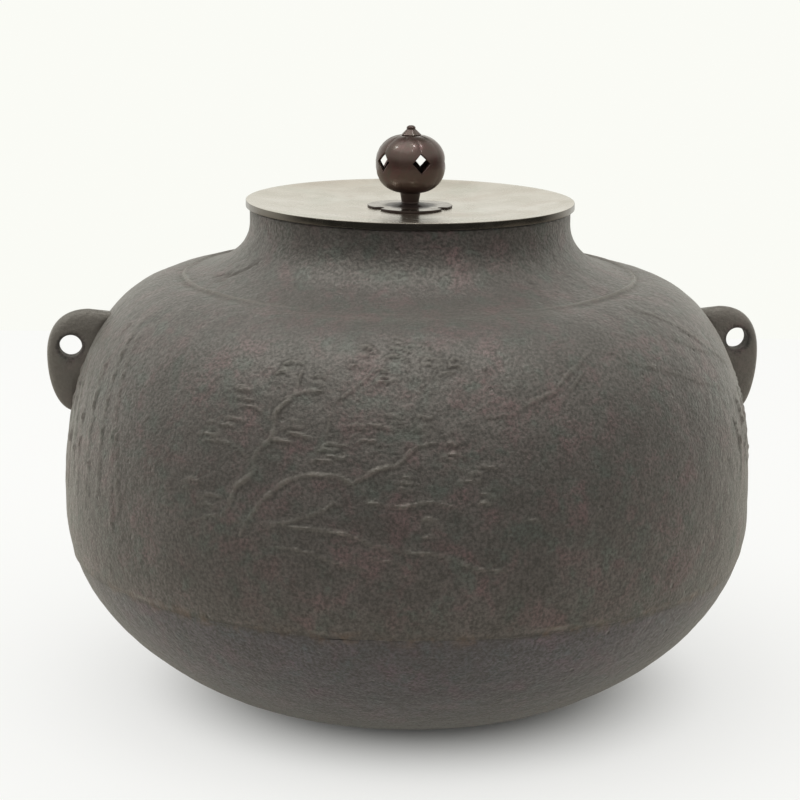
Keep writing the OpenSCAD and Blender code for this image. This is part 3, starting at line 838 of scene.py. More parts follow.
# %% Tall pine that leans over the beach
draw([(-29.5, 101), (-27.6, 107), (-26.6, 114), (-24.0, 119.5), (-23.6, 127), (-21.4, 133), (-21.3, 141),
      (-19.0, 147), (-18.4, 155)], 1.25, 0.46)
draw([(-24.3, 123), (-27.5, 128), (-31, 129)], 0.9, 0.38)
draw([(-23.2, 130), (-20.6, 132), (-18, 131.5)], 1.0, 0.44)
draw([(-21.8, 138), (-25, 141.5), (-27.5, 142)], 0.8, 0.34)
draw([(-20, 146), (-17, 148.5), (-15, 148)], 0.8, 0.34)
for angle, z, half in [(-32.5, 132, 2.4), (-28.5, 135, 2.6), (-17.5, 136, 2.4), (-27, 146, 2.2),
                       (-14.5, 151, 2.2), (-20.5, 157, 2.3), (-35, 112, 2.0), (-31.5, 107, 2.2)]:
    draw_pad(angle, z, half)
print("tall pine:", len(strokes), "stroke points")

# %% Low pine with an arching bough
draw([(-25.5, 97), (-22.8, 108), (-19, 117), (-14.5, 121), (-10, 120.5), (-6.5, 116)], 1.2, 0.46)
draw([(-8, 119), (-5, 123.5), (-1.5, 126), (0.8, 131), (4, 133.5)], 1.15, 0.46)
draw([(-21.5, 101), (-17, 104.5), (-13.5, 108), (-11, 111.5)], 0.9, 0.38)
draw([(-6, 112.5), (-1.5, 111.5), (3.5, 113), (7, 111)], 1.0, 0.42)
for angle, z, half in [(-12, 129, 2.4), (-7.5, 137, 2.3), (-2.8, 139.5, 2.2), (2.5, 139, 2.4), (7, 134, 2.2),
                       (6, 127, 2.5), (10.5, 122, 2.6), (-1.5, 119, 2.1), (12.5, 115, 2.2), (4, 105, 2.4)]:
    draw_pad(angle, z, half)
print("with the low pine:", len(strokes))

# %% Crown of a pine behind, mostly needle tufts
draw([(-12.5, 134), (-12, 145), (-8, 152), (-5.5, 158)], 0.75, 0.28)
for angle, z, half in [(-8, 160, 2.4), (-3.5, 154, 2.4), (-2.5, 164, 2.3), (3.2, 161, 2.6), (7.5, 157, 2.4)]:
    draw_pad(angle, z, half)
for tuft in range(46):
    angle = dice.gauss(3.5, 4.0)
    z = dice.gauss(157, 4.5)
    draw([(angle, z), (angle + dice.uniform(-0.25, 0.25), z + 0.7)], 0.65, dice.uniform(0.15, 0.32))
print("with the crown behind:", len(strokes))

# %% Beach and far hills
draw([(-35, 98), (-30, 102.5), (-25, 101.5), (-20, 103)], 0.9, 0.36)
draw([(-19, 102.5), (-14, 102), (-9, 101), (-5, 97.5), (0, 95.5), (5, 94), (10, 89), (15, 87.5)], 1.0, 0.40)
draw([(-20, 94.5), (-15, 93.5), (-10, 90.5), (-5, 88)], 0.8, 0.28)
draw([(-7, 93), (-3, 92), (1, 89.5)], 0.75, 0.26)
draw([(-2, 87), (2, 85.5), (6, 83)], 0.75, 0.26)
draw([(14, 104.5), (17.5, 105.5), (21, 104.5)], 0.75, 0.28)
draw([(12, 141), (17, 142.4), (20, 145.6), (24, 148), (27, 152.4), (31, 156.4), (34.5, 160.5)], 1.1, 0.20)
draw([(35, 160), (39, 158), (42, 154), (45, 152.6), (50, 149), (57, 143.5), (66, 137)], 1.0, 0.20)
draw([(27, 148), (30.5, 153), (32, 156)], 0.8, 0.24)
draw([(55, 168.5), (61, 163), (67, 154), (75, 142)], 1.0, 0.32)
draw([(58, 158), (63, 153), (68, 149)], 0.8, 0.24)
print("with beach and hills:", len(strokes))

# %% Reeds, rocks, flaws and waves
for reed in range(9):
    foot = -50 - 3.4 * reed + dice.uniform(-1, 1)
    low = dice.uniform(74, 96)
    tip = low + dice.uniform(46, 76)
    bend = dice.uniform(3, 8)
    draw([(foot, low), (foot - 0.25 * bend, low + 0.4 * (tip - low)),
          (foot - 0.6 * bend, low + 0.75 * (tip - low)), (foot - bend, tip)], 0.95, 0.40)
for rock in range(7):
    foot = 70 + 3.0 * rock + dice.uniform(-1, 1)
    low = dice.uniform(92, 112)
    draw([(foot, low), (foot + 1.2, low + 9), (foot + 0.4, low + 18), (foot - 1, low + 25)], 1.1, 0.50)
draw([(-69, 173.5), (-66.5, 175.2), (-64.5, 174.6), (-62, 177), (-58, 181)], 1.5, -0.30)
draw([(-65, 173), (-62.5, 173.6), (-61, 172.6)], 1.3, -0.24)
draw([(-35, 176.8), (-34.4, 176.4)], 1.4, -0.30)
draw([(38, 178), (39, 177)], 1.4, -0.22)
draw([(9, 172.5), (10, 172)], 1.4, -0.20)
for row in range(4):
    for crest in range(8):
        middle = 118 + 16 * crest + 8 * (row % 2) + dice.uniform(-1, 1)
        z = 88 + 13 * row
        draw([(middle - 7, z), (middle - 3, z + 3.2), (middle + 2, z + 4), (middle + 7, z)], 1.2, 0.34)
print("all stroke points:", len(strokes))

# %% [markdown]
# ## The body
# The upper casting runs from the seam to the mouth. A lathe-true surface would look stamped from sheet,
# because a clay mould leaves slow swells and shallow dents. Rows and columns of points are packed closer
# where the picture is, so that thin strokes have points to stand on, and the plain back makes do with
# fewer.

# %% Rows and columns of the body
fine_low = 22 * mm
fine_high = 116 * mm
ring_inset = 2 * mm
ring_clear = 2 * mm
ring_place = np.interp(ring_z, body_line[:, 1], height_run) + ring_inset
ring_width = 0.75 * mm
row_places = np.concatenate([
    [0, 0.6 * mm], np.linspace(2.4 * mm, fine_low, 11), np.linspace(fine_low, fine_high, 120)[1:],
    np.linspace(fine_high, ring_place - ring_clear, 8)[1:],
    ring_place + ring_width * np.linspace(-2.2, 2.2, 9), np.linspace(ring_place + ring_clear, body_run, 27),
])
outside = spaced(body_line, row_places)
outside_lean = lean(outside)
column_bands = [(-180, -92, 44), (-92, -40, 84), (-40, 42, 206), (42, 94, 84), (94, 180, 42)]
column_degrees = np.concatenate([np.linspace(*band, endpoint=False) for band in column_bands])


def turn_of(degrees):
    """Angle about the axis for degrees to the right of the front, as the camera sees it."""
    return np.radians(np.asarray(degrees, float) - 90) - heading


body_turns = turn_of(column_degrees)
outside_grid = round_the_axis(outside, body_turns)
print("body grid:", outside_grid.shape[:2])

# %% Helpers for strokes, swells and wear
stroke_tree = kdtree.KDTree(len(strokes))
for i, (angle, z, width, rise) in enumerate(strokes):
    place = np.interp(z * mm, body_line[:, 1], height_run)
    r = np.interp(place, height_run, body_line[:, 0])
    turn = turn_of(angle)
    stroke_tree.insert(Vector((r * math.cos(turn), r * math.sin(turn), z * mm)), i)
stroke_tree.balance()
widest = max(stroke[2] for stroke in strokes) * mm
print("widest stroke:", round(widest / mm, 2), "mm")
foot_reach = 2.0


def stroke_rise(spot):
    """How far the strokes lift this spot, in metres, and how deep it lies in the crook at their foot."""
    best = 0.0
    dent = 0.0
    crook = 0.0
    for _, i, gap in stroke_tree.find_range(spot, foot_reach * widest):
        share = gap / (strokes[i][2] * mm)
        if share < 1:
            height = strokes[i][3] * (1 - share * share) ** 1.5
            best = max(best, height)
            dent = min(dent, height)
        elif share < foot_reach:
            crook = max(crook, strokes[i][3] * (foot_reach - share))
    return (best + dent) * mm, max(-dent, crook - 2 * best) * mm


def swells_of(spot, swells):
    """Slow swells of the surface: smooth noise of each size, up to its rise, each with its own seed."""
    return sum(rise * noise.noise(spot / size + Vector((seed, seed, seed))) for size, rise, seed in swells)


def patchy(spot, size, middle, swing, low, high):
    """A share that comes and goes in patches of a size, kept between two limits."""
    return min(high, max(low, middle + swing * noise.noise(spot / size)))


# %% Lift the points of the body
body_swells = [(34 * mm, 0.32 * mm, 0.0), (11 * mm, 0.22 * mm, 5.0), (4.5 * mm, 0.10 * mm, 9.0)]
stroke_patch = 7 * mm
ring_patch = 30 * mm
ring_rise = 1.0 * mm
ring_least = 0.12
ring_bare = 28
ring_grow = 30
ring_left = ring_least + (1 - ring_least) * np.clip((np.abs(column_degrees) - ring_bare) / ring_grow, 0, 1)
ring_painted_shadow = 0.6
shadow_below = 2.0
shadow_width = 0.9
stroke_shine = 0.5
full_shine = 0.6 * mm
full_crook = 0.5 * mm
lip_settle = 6 * mm
lift = np.zeros(outside_grid.shape[:2])
worn_and_highlit_edge = np.zeros(outside_grid.shape[:2])
dirt_and_shade_depth = np.zeros(outside_grid.shape[:2])
for i, place in enumerate(row_places):
    from_ring = (place - ring_place) / ring_width
    bead = ring_rise * math.exp(-from_ring * from_ring)
    for j in range(len(body_turns)):
        spot = Vector(outside_grid[i, j])
        wear = patchy(spot, stroke_patch, 0.85, 0.9, 0.2, 1.2)
        stroke, crook = stroke_rise(spot)
        stroke *= wear
        bead_here = bead * ring_left[j] * patchy(spot, ring_patch, 0.85, 0.6, 0.5, 1.0)
        lift[i, j] = stroke + bead_here + swells_of(spot, body_swells)
        # Lighter ridges: rubbed wear and a painted highlight on strokes, a painted highlight on the ring
        # bead.
        worn_and_highlit_edge[i, j] = (stroke_shine * stroke + bead_here) / full_shine
        # Below the ring bead the skin is painted darker as a painted shadow, and the feet of strokes get dirt
        # and painted shade.
        beside_ring = ring_left[j] * math.exp(-((from_ring + shadow_below) / shadow_width) ** 2)
        dirt_and_shade_depth[i, j] = crook * wear / full_crook + ring_painted_shadow * beside_ring
lift *= np.clip((body_run - row_places) / lip_settle, 0, 1)[:, None]
print("highest stroke:", round(lift.max() / mm, 2), "mm")

# %% Close the body with lip, inside and seam edge
mouth_r = neck_r - lip_t
lip_line = rounded([(neck_r, lip_start), (neck_r, mouth_z, 0.7 * mm), (mouth_r, mouth_z, 0.6 * mm),
                    (mouth_r, neck_z)])[1:-1]


def inside_of(c, count, depth_low, depth_high, **ends):
    """A curve set in from the outside by a depth that may grow along it."""
    line = stretch(c, count, **ends)
    return line - np.linspace(depth_low, depth_high, count)[:, None] * lean(line)


inner_line = np.concatenate([
    inside_of(collar, 9, wall_t, lip_t)[::-1], inside_of(shoulder, 12, wall_t, wall_t)[::-1][1:],
    inside_of(bowl, 4, wall_t, wall_t, low=seam_z)[::-1],
])
edge_proud = 0.70 * mm
edge_drop = 0.10 * mm
edge_patch = 26 * mm
edge_fade = 4 * mm
seam_edge = [(inner_line[-1][0], seam_z - edge_drop), (outside[0][0] - edge_drop, seam_z - edge_drop)]
rest_grid = round_the_axis(np.concatenate([lip_line, inner_line, seam_edge]), body_turns)
edge_left = np.array([patchy(Vector(spot), edge_patch, -0.1, 1.8, 0.0, 1.0) for spot in outside_grid[0]])
edge_swell = np.clip(1 - row_places / edge_fade, 0, 1)[:, None] * edge_proud * edge_left
turn_cos = np.cos(body_turns)
turn_sin = np.sin(body_turns)
across = (lift + edge_swell) * outside_lean[:, 0][:, None]
upward = (lift + edge_swell) * outside_lean[:, 1][:, None]
body_grid = outside_grid + np.stack([across * turn_cos, across * turn_sin, upward], axis=2)
body_mesh = skin("kettle_body", np.concatenate([body_grid, rest_grid]))
mark(body_mesh, "relief", worn_and_highlit_edge)
mark(body_mesh, "hollow", dirt_and_shade_depth)
set_in_place("kettle_body_cast", body_mesh, cast_iron, "kettle", "kettle_body")

# %% [markdown]
# ## The bottom pan
# The lower casting is a plain bowl whose upper edge goes up inside the body as a lap. It takes the fire
# and is scoured clean, so its tone is a little bluer. It is turned from one closed outline, and its
# outside is dented as the body is.

# %% Turn the bottom pan
lap_h = 10 * mm
lap_t = 2.4 * mm
flange_out = wall_t + 0.2 * mm
flange_in = flange_out + lap_t
seam_cut = 0.12 * mm
nick_depth = 1.2 * mm
nick_row = 0.6 * mm
nick_patch = 17 * mm
foot_hold = 4 * mm
pan_swells = [(30 * mm, 0.28 * mm, 3.0), (9 * mm, 0.16 * mm, 7.0), (4 * mm, 0.07 * mm, 2.0)]
pan_side = stretch(bowl, 300, high=seam_z - seam_cut)
pan_run = lengths_along(pan_side)[-1]
pan_outside = spaced(pan_side, np.append(np.linspace(0, pan_run - nick_row, 89), pan_run))
whole_bowl = stretch(bowl, 300)
rim_r = np.interp(seam_z, whole_bowl[:, 1], whole_bowl[:, 0])
foot_line = np.array([(0, 0), (base_r * 0.5, 0), (base_r - 1.5 * mm, 0)])


def bowl_inside(count, depth, low=None, high=None):
    """A stretch of the bowl set in by one depth, between two heights of the line that is set in."""
    line = inside_of(bowl, 200, depth, depth)
    heights = np.linspace(line[0][1] if low is None else low, high, count)
    return np.stack([np.interp(heights, line[:, 1], line[:, 0]), heights], axis=1)


floor_z = floor_t * math.cos(foot_slope)
pan_line = np.concatenate([
    foot_line, pan_outside, [(rim_r - seam_cut, seam_z)], bowl_inside(8, flange_out, seam_z, seam_z + lap_h),
    bowl_inside(10, flange_in, seam_z - lap_h, seam_z + lap_h)[::-1],
    bowl_inside(26, floor_t, None, seam_z - lap_h - lap_t)[::-1], [(base_r * 0.5, floor_z), (0, floor_z)],
])
pan_turns = full_circle(300)
pan_grid = round_the_axis(pan_line, pan_turns)
first = len(foot_line)
pan_lean = lean(pan_outside)
for i in range(len(pan_outside)):
    hold = min(1.0, pan_outside[i][1] / foot_hold)
    at_seam = i == len(pan_outside) - 1
    for j, turn in enumerate(pan_turns):
        spot = Vector(pan_grid[first + i, j])
        nick = patchy(spot, nick_patch, -0.3, 2.6, 0.0, 1.0) if at_seam else 0.0
        push = hold * swells_of(spot, pan_swells) - nick_depth * nick
        step_out = push * pan_lean[i]
        pan_grid[first + i, j] += (step_out[0] * math.cos(turn), step_out[0] * math.sin(turn), step_out[1])
pan_mesh = skin("kettle_bottom", pan_grid, closed=False)
set_in_place("kettle_bottom_cast", pan_mesh, cast_iron, "kettle", "kettle_bottom")

# %% [markdown]
# ## The lugs
# Each lug is a thick ear with an eye for a carrying ring, cast first and set in the mould, so that the
# body's iron closed round its root. It could be an extruded outline with a bevel, but a bevel gives one
# width of rounding everywhere. Here a rounded section is carried round the eye: soft at the free edge,
# crisp at the eye, and sunk a little into the wall on the body's side.

# %% Outline of a lug
lug_low, lug_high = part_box("right_lug")
eye = next(mount for mount in frame["record"]["mounts"] if mount["name"] == "right_lug_eye")
eye_x = eye["pos_m"][0]
eye_z = eye["pos_m"][2]
eye_r = eye["dims"]["r_mm"] * mm
lug_half = (lug_high.y - lug_low.y) / 2
lug_out = lug_high.x - eye_x
lug_up = 14.6 * mm
lug_down = 26.6 * mm
brow_fall = 2.6 * mm
right_lug_drop = 1.4 * mm
right_lug_longer = 3.8 * mm
lug_sink = 0.9 * mm
lug_root = 2.5 * lug_out
even = np.linspace(0, 1, 120)


def free_outline(drop, longer):
    """The free edge of a lug about its eye, from brow to chin, hung lower and with a longer cheek.

    The curves' points are shares of how far the lug stands out from its eye."""
    down = lug_down + longer
    waist = -0.4 * lug_out - 0.6 * longer
    brow = [(-0.8 * lug_out, lug_up), (0.46 * lug_out, lug_up), (lug_out, 0.72 * lug_out), (lug_out, waist)]
    cheek = [(lug_out, waist), (lug_out, waist - lug_out), (0.74 * lug_out, -0.92 * down), (0, -down)]
    root = [[(-lug_root, lug_up - brow_fall)], [(-lug_root, -down)]]
    return np.concatenate([root[0], bezier(brow, even), bezier(cheek, even)[1:], root[1]]) - (0, drop)


wall_edge = stretch(shoulder, 400) - (eye_x, eye_z) - (lug_sink, 0)
print("a lug stands out", round(lug_out / mm, 1), "mm from its eye")


def crossing(line, direction):
    """How far a ray from the eye runs before it meets a line, or a long way if it never does."""
    side = np.array((-direction[1], direction[0]))
    across = line @ side
    along = line @ np.array(direction)
    best = 1.0
    for i in np.nonzero(across[:-1] * across[1:] <= 0)[0]:
        share = across[i] / (across[i] - across[i + 1] + 1e-12)
        far = along[i] + share * (along[i + 1] - along[i])
        if 0 < far < best:
            best = far
    return best


# %% Carry a section round the eye
dome = 2.6
root_blend = 9 * mm
blend_half = 12
lug_painted_light = 0.85
lug_swells = [(7 * mm, 0.16 * mm, 4.0)]
lug_columns = 220
eye_round = 1.3 * mm
arc = np.linspace(0, math.pi / 2, 7)
fall = np.linspace(0, math.pi / 2, 15)[1:-1]


def lug_section(edge, clear):
    """Points of (distance from the eye, place across the lug) all round the section that ends at an edge."""
    half = [(eye_r, share * (lug_half - eye_round)) for share in (0.0, 0.5)]
    half += [(eye_r + eye_round * (1 - math.cos(a)), lug_half - eye_round * (1 - math.sin(a))) for a in arc]
    face = eye_r + eye_round
    for a in fall:
        thin = 1 - clear * (1 - math.sqrt(1 - math.sin(a) ** dome))
        half.append((face + math.sin(a) * (edge - face), lug_half * thin))
    mirrored = [(far, -aside) for far, aside in half[::-1]]
    return half + [(edge, 0.0)] + mirrored[:-1]


for name, drop, longer, side in (("left_lug", 0, 0, -1), ("right_lug", right_lug_drop, right_lug_longer, 1)):
    outline = free_outline(drop, longer)
    rays = [(math.cos(turn), math.sin(turn)) for turn in full_circle(lug_columns)]
    to_edge = np.array([crossing(outline, ray) for ray in rays])
    to_wall = np.array([crossing(wall_edge, ray) for ray in rays])
    clear = np.clip((to_wall - to_edge) / root_blend, 0, 1)
    clear = np.mean([np.roll(clear, step) for step in range(-blend_half, blend_half + 1)], axis=0)
    lug_points = []
    for direction, edge, free in zip(rays, np.minimum(to_edge, to_wall), clear):
        for far, aside in lug_section(edge, free):
            spot = Vector((side * (eye_x + far * direction[0]), side * aside, eye_z + far * direction[1]))
            spot.y += math.copysign(swells_of(spot, lug_swells), spot.y)
            lug_points.append(spot)
    lug_grid = np.array(lug_points).reshape(lug_columns, -1, 3)
    lug_mesh = skin(name, lug_grid)
    from_eye = np.hypot(lug_grid[:, :, 0] - side * eye_x, lug_grid[:, :, 2] - eye_z)
    # The insides of the eyes are made darker and rougher.
    mark(lug_mesh, "hollow", 2 * (eye_r + eye_round - from_eye) / eye_round)
    # The faces of the lugs are painted lighter: painted light.
    mark(lug_mesh, "relief", np.where(from_eye > eye_r + eye_round, lug_painted_light, 0))
    set_in_place(name + "_cast", lug_mesh, cast_iron, "kettle", name)

# %% [markdown]
# ## The lid
# The lid is a bronze disc, dished so that it holds its knob low, with a thin upright rim and a lip below
# that drops into the mouth. It rests on the inner part of the mouth's edge, so a thin dark line shows
# below its rim. It is turned from one outline with small roundings on each edge, because an edge with no
# rounding never catches light.

# %% Turn the lid
lid_low, lid_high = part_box("lid_plate")
lid_r = lid_high.x
lid_top = lid_high.z
dish_depth = 3.2 * mm
lid_t = 2.4 * mm
pad_z = lid_top - dish_depth
pad_r = 18.7 * mm
lid_play = 0.8 * mm
lid_lip_r = mouth_r - lid_play
lid_lip_t = 2.2 * mm
lid_gap = 0.5 * mm
rest_w = 1.4 * mm
rest_slant = 0.1 * mm
rim_flat = 0.8 * mm
stem_hole_r = 2.05 * mm
dish_r = np.linspace(pad_r, lid_r - rim_flat, 30)
dish_rise = dish_depth * ((dish_r - pad_r) / (lid_r - rim_flat - pad_r)) ** 2
dish_top = np.stack([dish_r, pad_z + dish_rise], axis=1)
rim_line = rounded([tuple(dish_top[-2]), (lid_r, lid_top, 0.35 * mm), (lid_r, mouth_z + lid_gap, 0.25 * mm),
                    (mouth_r + rest_w + rest_slant, mouth_z + lid_gap), (mouth_r + rest_w, mouth_z),
                    (lid_lip_r, mouth_z), (lid_lip_r, lid_low.z, 0.5 * mm),
                    (lid_lip_r - lid_lip_t, lid_low.z, 0.5 * mm),
                    (lid_lip_r - lid_lip_t, mouth_z - lid_t)])[1:-1]
under_r = np.linspace(lid_lip_r - lid_lip_t, pad_r, 14)
under_z = pad_z - lid_t + np.interp(under_r, dish_r, dish_rise)
lid_line = np.concatenate([
    [(stem_hole_r, pad_z - lid_t), (stem_hole_r, pad_z)], [(pad_r * 0.5, pad_z)], dish_top[:-1], rim_line,
    np.stack([under_r, under_z], axis=1),
])
lid_mesh = skin("lid_plate", round_the_axis(lid_line, full_circle(256)))
set_in_place("lid_plate_turned", lid_mesh, lid_bronze, "lid", "lid_plate")

# %% [markdown]
# ## The seat under the knob
# Between lid and knob lies a thin plate cut as three petals, with a low flared boss for the stem to stand
# on. Three discs could be joined, but their edges would not round over together. The outline is the
# farthest of three circles at each angle, less a notch between them, and rings of points follow it
# inward. The flat of the petals is painted lighter and smoother, as a painted reflection of the pale room,
# and the edge and the boss are painted dark, as painted shade.

# %% Cut the seat and raise its boss
seat_low, seat_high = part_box("knob_seat")
boss_top = seat_high.z
seat_t = 0.8 * mm
boss_r = 7.75 * mm
waist_r = 3.5 * mm
seat_lobes = 3
seat_lobe_r = 13.3 * mm
seat_offset = 4.4 * mm
seat_notch_r = 2.2 * mm
seat_turn = math.radians(-94)
lobe_step = 2 * math.pi / seat_lobes


def lobe_reach(off):
    """Distance from the middle to the far side of a lobe, at an angle off the lobe's own direction."""
    return seat_offset * math.cos(off) + math.sqrt(seat_lobe_r ** 2 - (seat_offset * math.sin(off)) ** 2)


notch_out = lobe_reach(lobe_step / 2)


def seat_reach(turn):
    """Distance from the middle to the seat's outline: the farthest of three lobes, less the notches."""
    best = max(lobe_reach(turn - seat_turn - lobe * lobe_step) for lobe in range(seat_lobes))
    for lobe in range(seat_lobes):
        off = turn - seat_turn - (lobe + 0.5) * lobe_step
        aside = notch_out * math.sin(off)
        if math.cos(off) > 0 and abs(aside) < seat_notch_r:
            best = min(best, notch_out * math.cos(off) - math.sqrt(seat_notch_r ** 2 - aside ** 2))
    return best


seat_turns = full_circle(480)
seat_edge = np.array([seat_reach(turn) for turn in seat_turns])
edge_soft = 0.18 * mm
seat_rings = [(0 * seat_edge + stem_hole_r, 0.0), (seat_edge - edge_soft, 0.0), (seat_edge, edge_soft),
              (seat_edge, seat_t - edge_soft), (seat_edge - 0.3 * edge_soft, seat_t - 0.3 * edge_soft),
              (seat_edge - edge_soft, seat_t)]
for share in np.linspace(0.05, 1, 7):
    seat_rings.append(((1 - share) * (seat_edge - edge_soft) + share * boss_r, seat_t))
for share in np.linspace(0.12, 1, 9):
    flare = (boss_top - seat_low.z - seat_t) * share
    seat_rings.append((0 * seat_edge + boss_r + share * (waist_r - boss_r), seat_t + flare))
seat_rings.append((0 * seat_edge + stem_hole_r, boss_top - seat_low.z))
seat_rows = [np.stack([far * np.cos(seat_turns), far * np.sin(seat_turns), 0 * far + seat_low.z + z], axis=1)
             for far, z in seat_rings]
seat_mesh = skin("knob_seat", np.array(seat_rows))
# Row 5 is the edge of the flat, and row 12 is the foot of the boss
painted_reflection_rows = [4, 5, 9.5, 11.5]
row_painted_reflection = np.interp(np.arange(len(seat_rows)), painted_reflection_rows, [0.0, 1.0, 1.0, 0.0])
seat_painted_reflection = np.repeat(row_painted_reflection, len(seat_turns))
# The flat is lightened as a painted reflection, and the edge and boss are darkened as painted shade.
mark(seat_mesh, "relief", seat_painted_reflection)
mark(seat_mesh, "hollow", 1 - seat_painted_reflection)
set_in_place("knob_seat_cut", seat_mesh, dark_bronze, "lid", "knob_seat")

# %% [markdown]
# ## The stem
# A short turned post holds the ball. Its foot spreads slightly on the seat, it widens towards the ball,
# and its tail goes down through the lid to be hammered over a washer. One turned outline gives all of it.

# %% Turn the stem
stem_low, stem_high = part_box("knob_stem")
ball_low, ball_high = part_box("knob_shell")
ball_foot_z = ball_low.z
tail_r = 1.95 * mm
crown_r = 4.15 * mm
spigot_r = 2.3 * mm
peen_r = tail_r + 1.1 * mm
stem_sunk = 0.05 * mm
stem_painted_shade = 0.6
hair = 0.02 * mm
washer_under = pad_z - lid_t - 1.0 * mm
stem_line = rounded([
    (0, stem_low.z), (peen_r, stem_low.z, 0.8 * mm), (peen_r, washer_under, 0.2 * mm), (tail_r, washer_under),
    (tail_r, boss_top - stem_sunk), (waist_r + 0.15 * mm, boss_top - stem_sunk, 0.1 * mm),
    (waist_r, boss_top + 0.4 * mm, 0.3 * mm), (crown_r, ball_foot_z - hair, 0.1 * mm),
    (spigot_r, ball_foot_z - hair),
    (spigot_r, stem_high.z - 0.6 * mm), (spigot_r + 1.1 * mm, stem_high.z - 0.6 * mm, 0.2 * mm),
    (spigot_r, stem_high.z, 0.4 * mm), (0, stem_high.z),
])
stem_mesh = skin("knob_stem", round_the_axis(stem_line, full_circle(96)), closed=False)
# The whole stem is darkened: painted shade under the ball.
mark(stem_mesh, "hollow", np.full(len(stem_mesh.vertices), stem_painted_shade))
set_in_place("knob_stem_turned", stem_mesh, dark_bronze, "lid", "knob_stem")

# %% [markdown]
# ## The pierced ball
# The knob is a hollow ball of thin bronze with five diamonds cut round its waist, and a soft crease that
# runs from the top down to each diamond, so that it looks like a fruit or a bud. Cutting holes with a
# Boolean leaves ragged faces along the cut. Instead each fifth of the ball is a patch of rings that
# spread from its diamond out to the patch's border, so the hole's edge is clean and can be rounded over,
# and five patches are sewn together. Painted shade deepens from the waist towards the underside.

# %% Side of the ball
ball_r = ball_high.x
ball_top = ball_high.z
ball_mid = 12.1 * mm
waist_z = ball_foot_z + ball_mid
shell_t = 1.0 * mm
ball_foot_r = crown_r
ball_crown_r = 4.5 * mm
ball_up = ball_top - waist_z
spigot_hole = 2.35 * mm
pin_hole = 0.95 * mm
foot_flare = 0.8
foot_lift = 0.085
low_pull = 0.535
high_pull = 0.62
cap_pull = 0.44
cap_drop = 0.03
low_side = [(ball_foot_r, ball_foot_z), (foot_flare * ball_r, ball_foot_z + foot_lift * ball_mid),
            (ball_r, waist_z - low_pull * ball_mid), (ball_r, waist_z)]
high_side = [(ball_r, waist_z), (ball_r, waist_z + high_pull * ball_up),
             (ball_crown_r + cap_pull * (ball_r - ball_crown_r), ball_top - cap_drop * ball_up),
             (ball_crown_r, ball_top)]
ball_side = np.concatenate([[(spigot_hole, ball_foot_z)], bezier(low_side, even), bezier(high_side, even)[1:],
                            [(pin_hole, ball_top)]])
ball_run = lengths_along(ball_side)
ball_lean = lean(ball_side)
diamond_z = waist_z + 0.9 * mm
diamond_place = np.interp(diamond_z, ball_side[1:-1, 1], ball_run[1:-1])
print("side of the ball:", round(ball_run[-1] / mm, 1), "mm long")
lobe_count = 5
lobe_half = math.pi / lobe_count
first_lobe = math.radians(-6)
diamond_w = 7.6 * mm
diamond_h = 8.2 * mm
crease_depth = 0.30 * mm
crease_width = 0.9 * mm
crease_grow = 5 * mm
crease_stop = 5 * mm
crease_fade = 4 * mm


def ball_spot(turn, place, depth):
    """A point of the ball: angle from the middle of a lobe's diamond, length up its side, depth inside."""
    r = np.interp(place, ball_run, ball_side[:, 0])
    z = np.interp(place, ball_run, ball_side[:, 1])
    out_r = np.interp(place, ball_run, ball_lean[:, 0])
    out_z = np.interp(place, ball_run, ball_lean[:, 1])
    above = np.clip((place - diamond_place) / crease_grow, 0, 1)
    fade = np.clip((ball_run[-1] - place - crease_stop) / crease_fade, 0, 1)
    crease = crease_depth * above * fade * math.exp(-abs(turn) * r / crease_width)
    sink = depth + crease
    return r - sink * out_r, turn, z - sink * out_z


# %% Rings of one fifth of the ball
side_steps = 14
ring_steps = 18
ease = np.sin(np.linspace(0, math.pi / 2, side_steps + 1)) ** 1.2
diamond_turn = diamond_w / 2 / ball_r
quarter_signs = [(1, 1), (-1, 1), (-1, -1), (1, -1)]


def quarter(sign_turn, sign_place):
    """Pairs of points from the diamond's side to the patch's border, from side tip to upright tip."""
    top = ball_run[-1] if sign_place > 0 else 0.0
    pairs = []
    for share in ease:
        inner = (sign_turn * diamond_turn * (1 - share), diamond_place + sign_place * diamond_h / 2 * share)
        if share < 0.5:
            outer = (sign_turn * lobe_half, diamond_place + (top - diamond_place) * 2 * share)
        else:
            outer = (sign_turn * lobe_half * 2 * (1 - share), top)
        pairs.append((np.array(inner), np.array(outer)))
    return pairs


loop = []
for index, (sign_turn, sign_place) in enumerate(quarter_signs):
    pairs = quarter(sign_turn, sign_place)
    if index % 2:
        pairs = pairs[::-1]
    loop += pairs[:-1]
edge_round = 0.18 * mm
bunching = 1.4
rim_step = 0.012
rim_lean = 0.004
rings = [(share, shell_t) for share in np.linspace(1, 0, ring_steps) ** bunching]
rings += [(0.0, shell_t - edge_round), (0.0, edge_round), (rim_lean, 0.3 * edge_round)]
outer_shares = (np.linspace(0, 1, ring_steps) ** bunching + rim_step) / (1 + rim_step)
rings += [(share, 0.0) for share in outer_shares]
patch = np.array([[ball_spot(*(inner + share * (outer - inner)), depth) for inner, outer in loop]
                  for share, depth in rings])
print("rings and points of a patch:", patch.shape[:2])

# %% Sew five patches into the ball
ball_points = []
ball_faces = []
rows, columns = patch.shape[:2]
for lobe in range(lobe_count):
    middle = first_lobe + 2 * lobe_half * lobe
    start = len(ball_points)
    for r, turn, z in patch.reshape(-1, 3):
        ball_points.append((r * math.cos(middle + turn), r * math.sin(middle + turn), z))
    for i in range(rows - 1):
        for j in range(columns):
            k = (j + 1) % columns
            lower = start + i * columns
            ball_faces.append((lower + j, lower + k, lower + columns + k, lower + columns + j))
weld_gap = 0.01 * mm


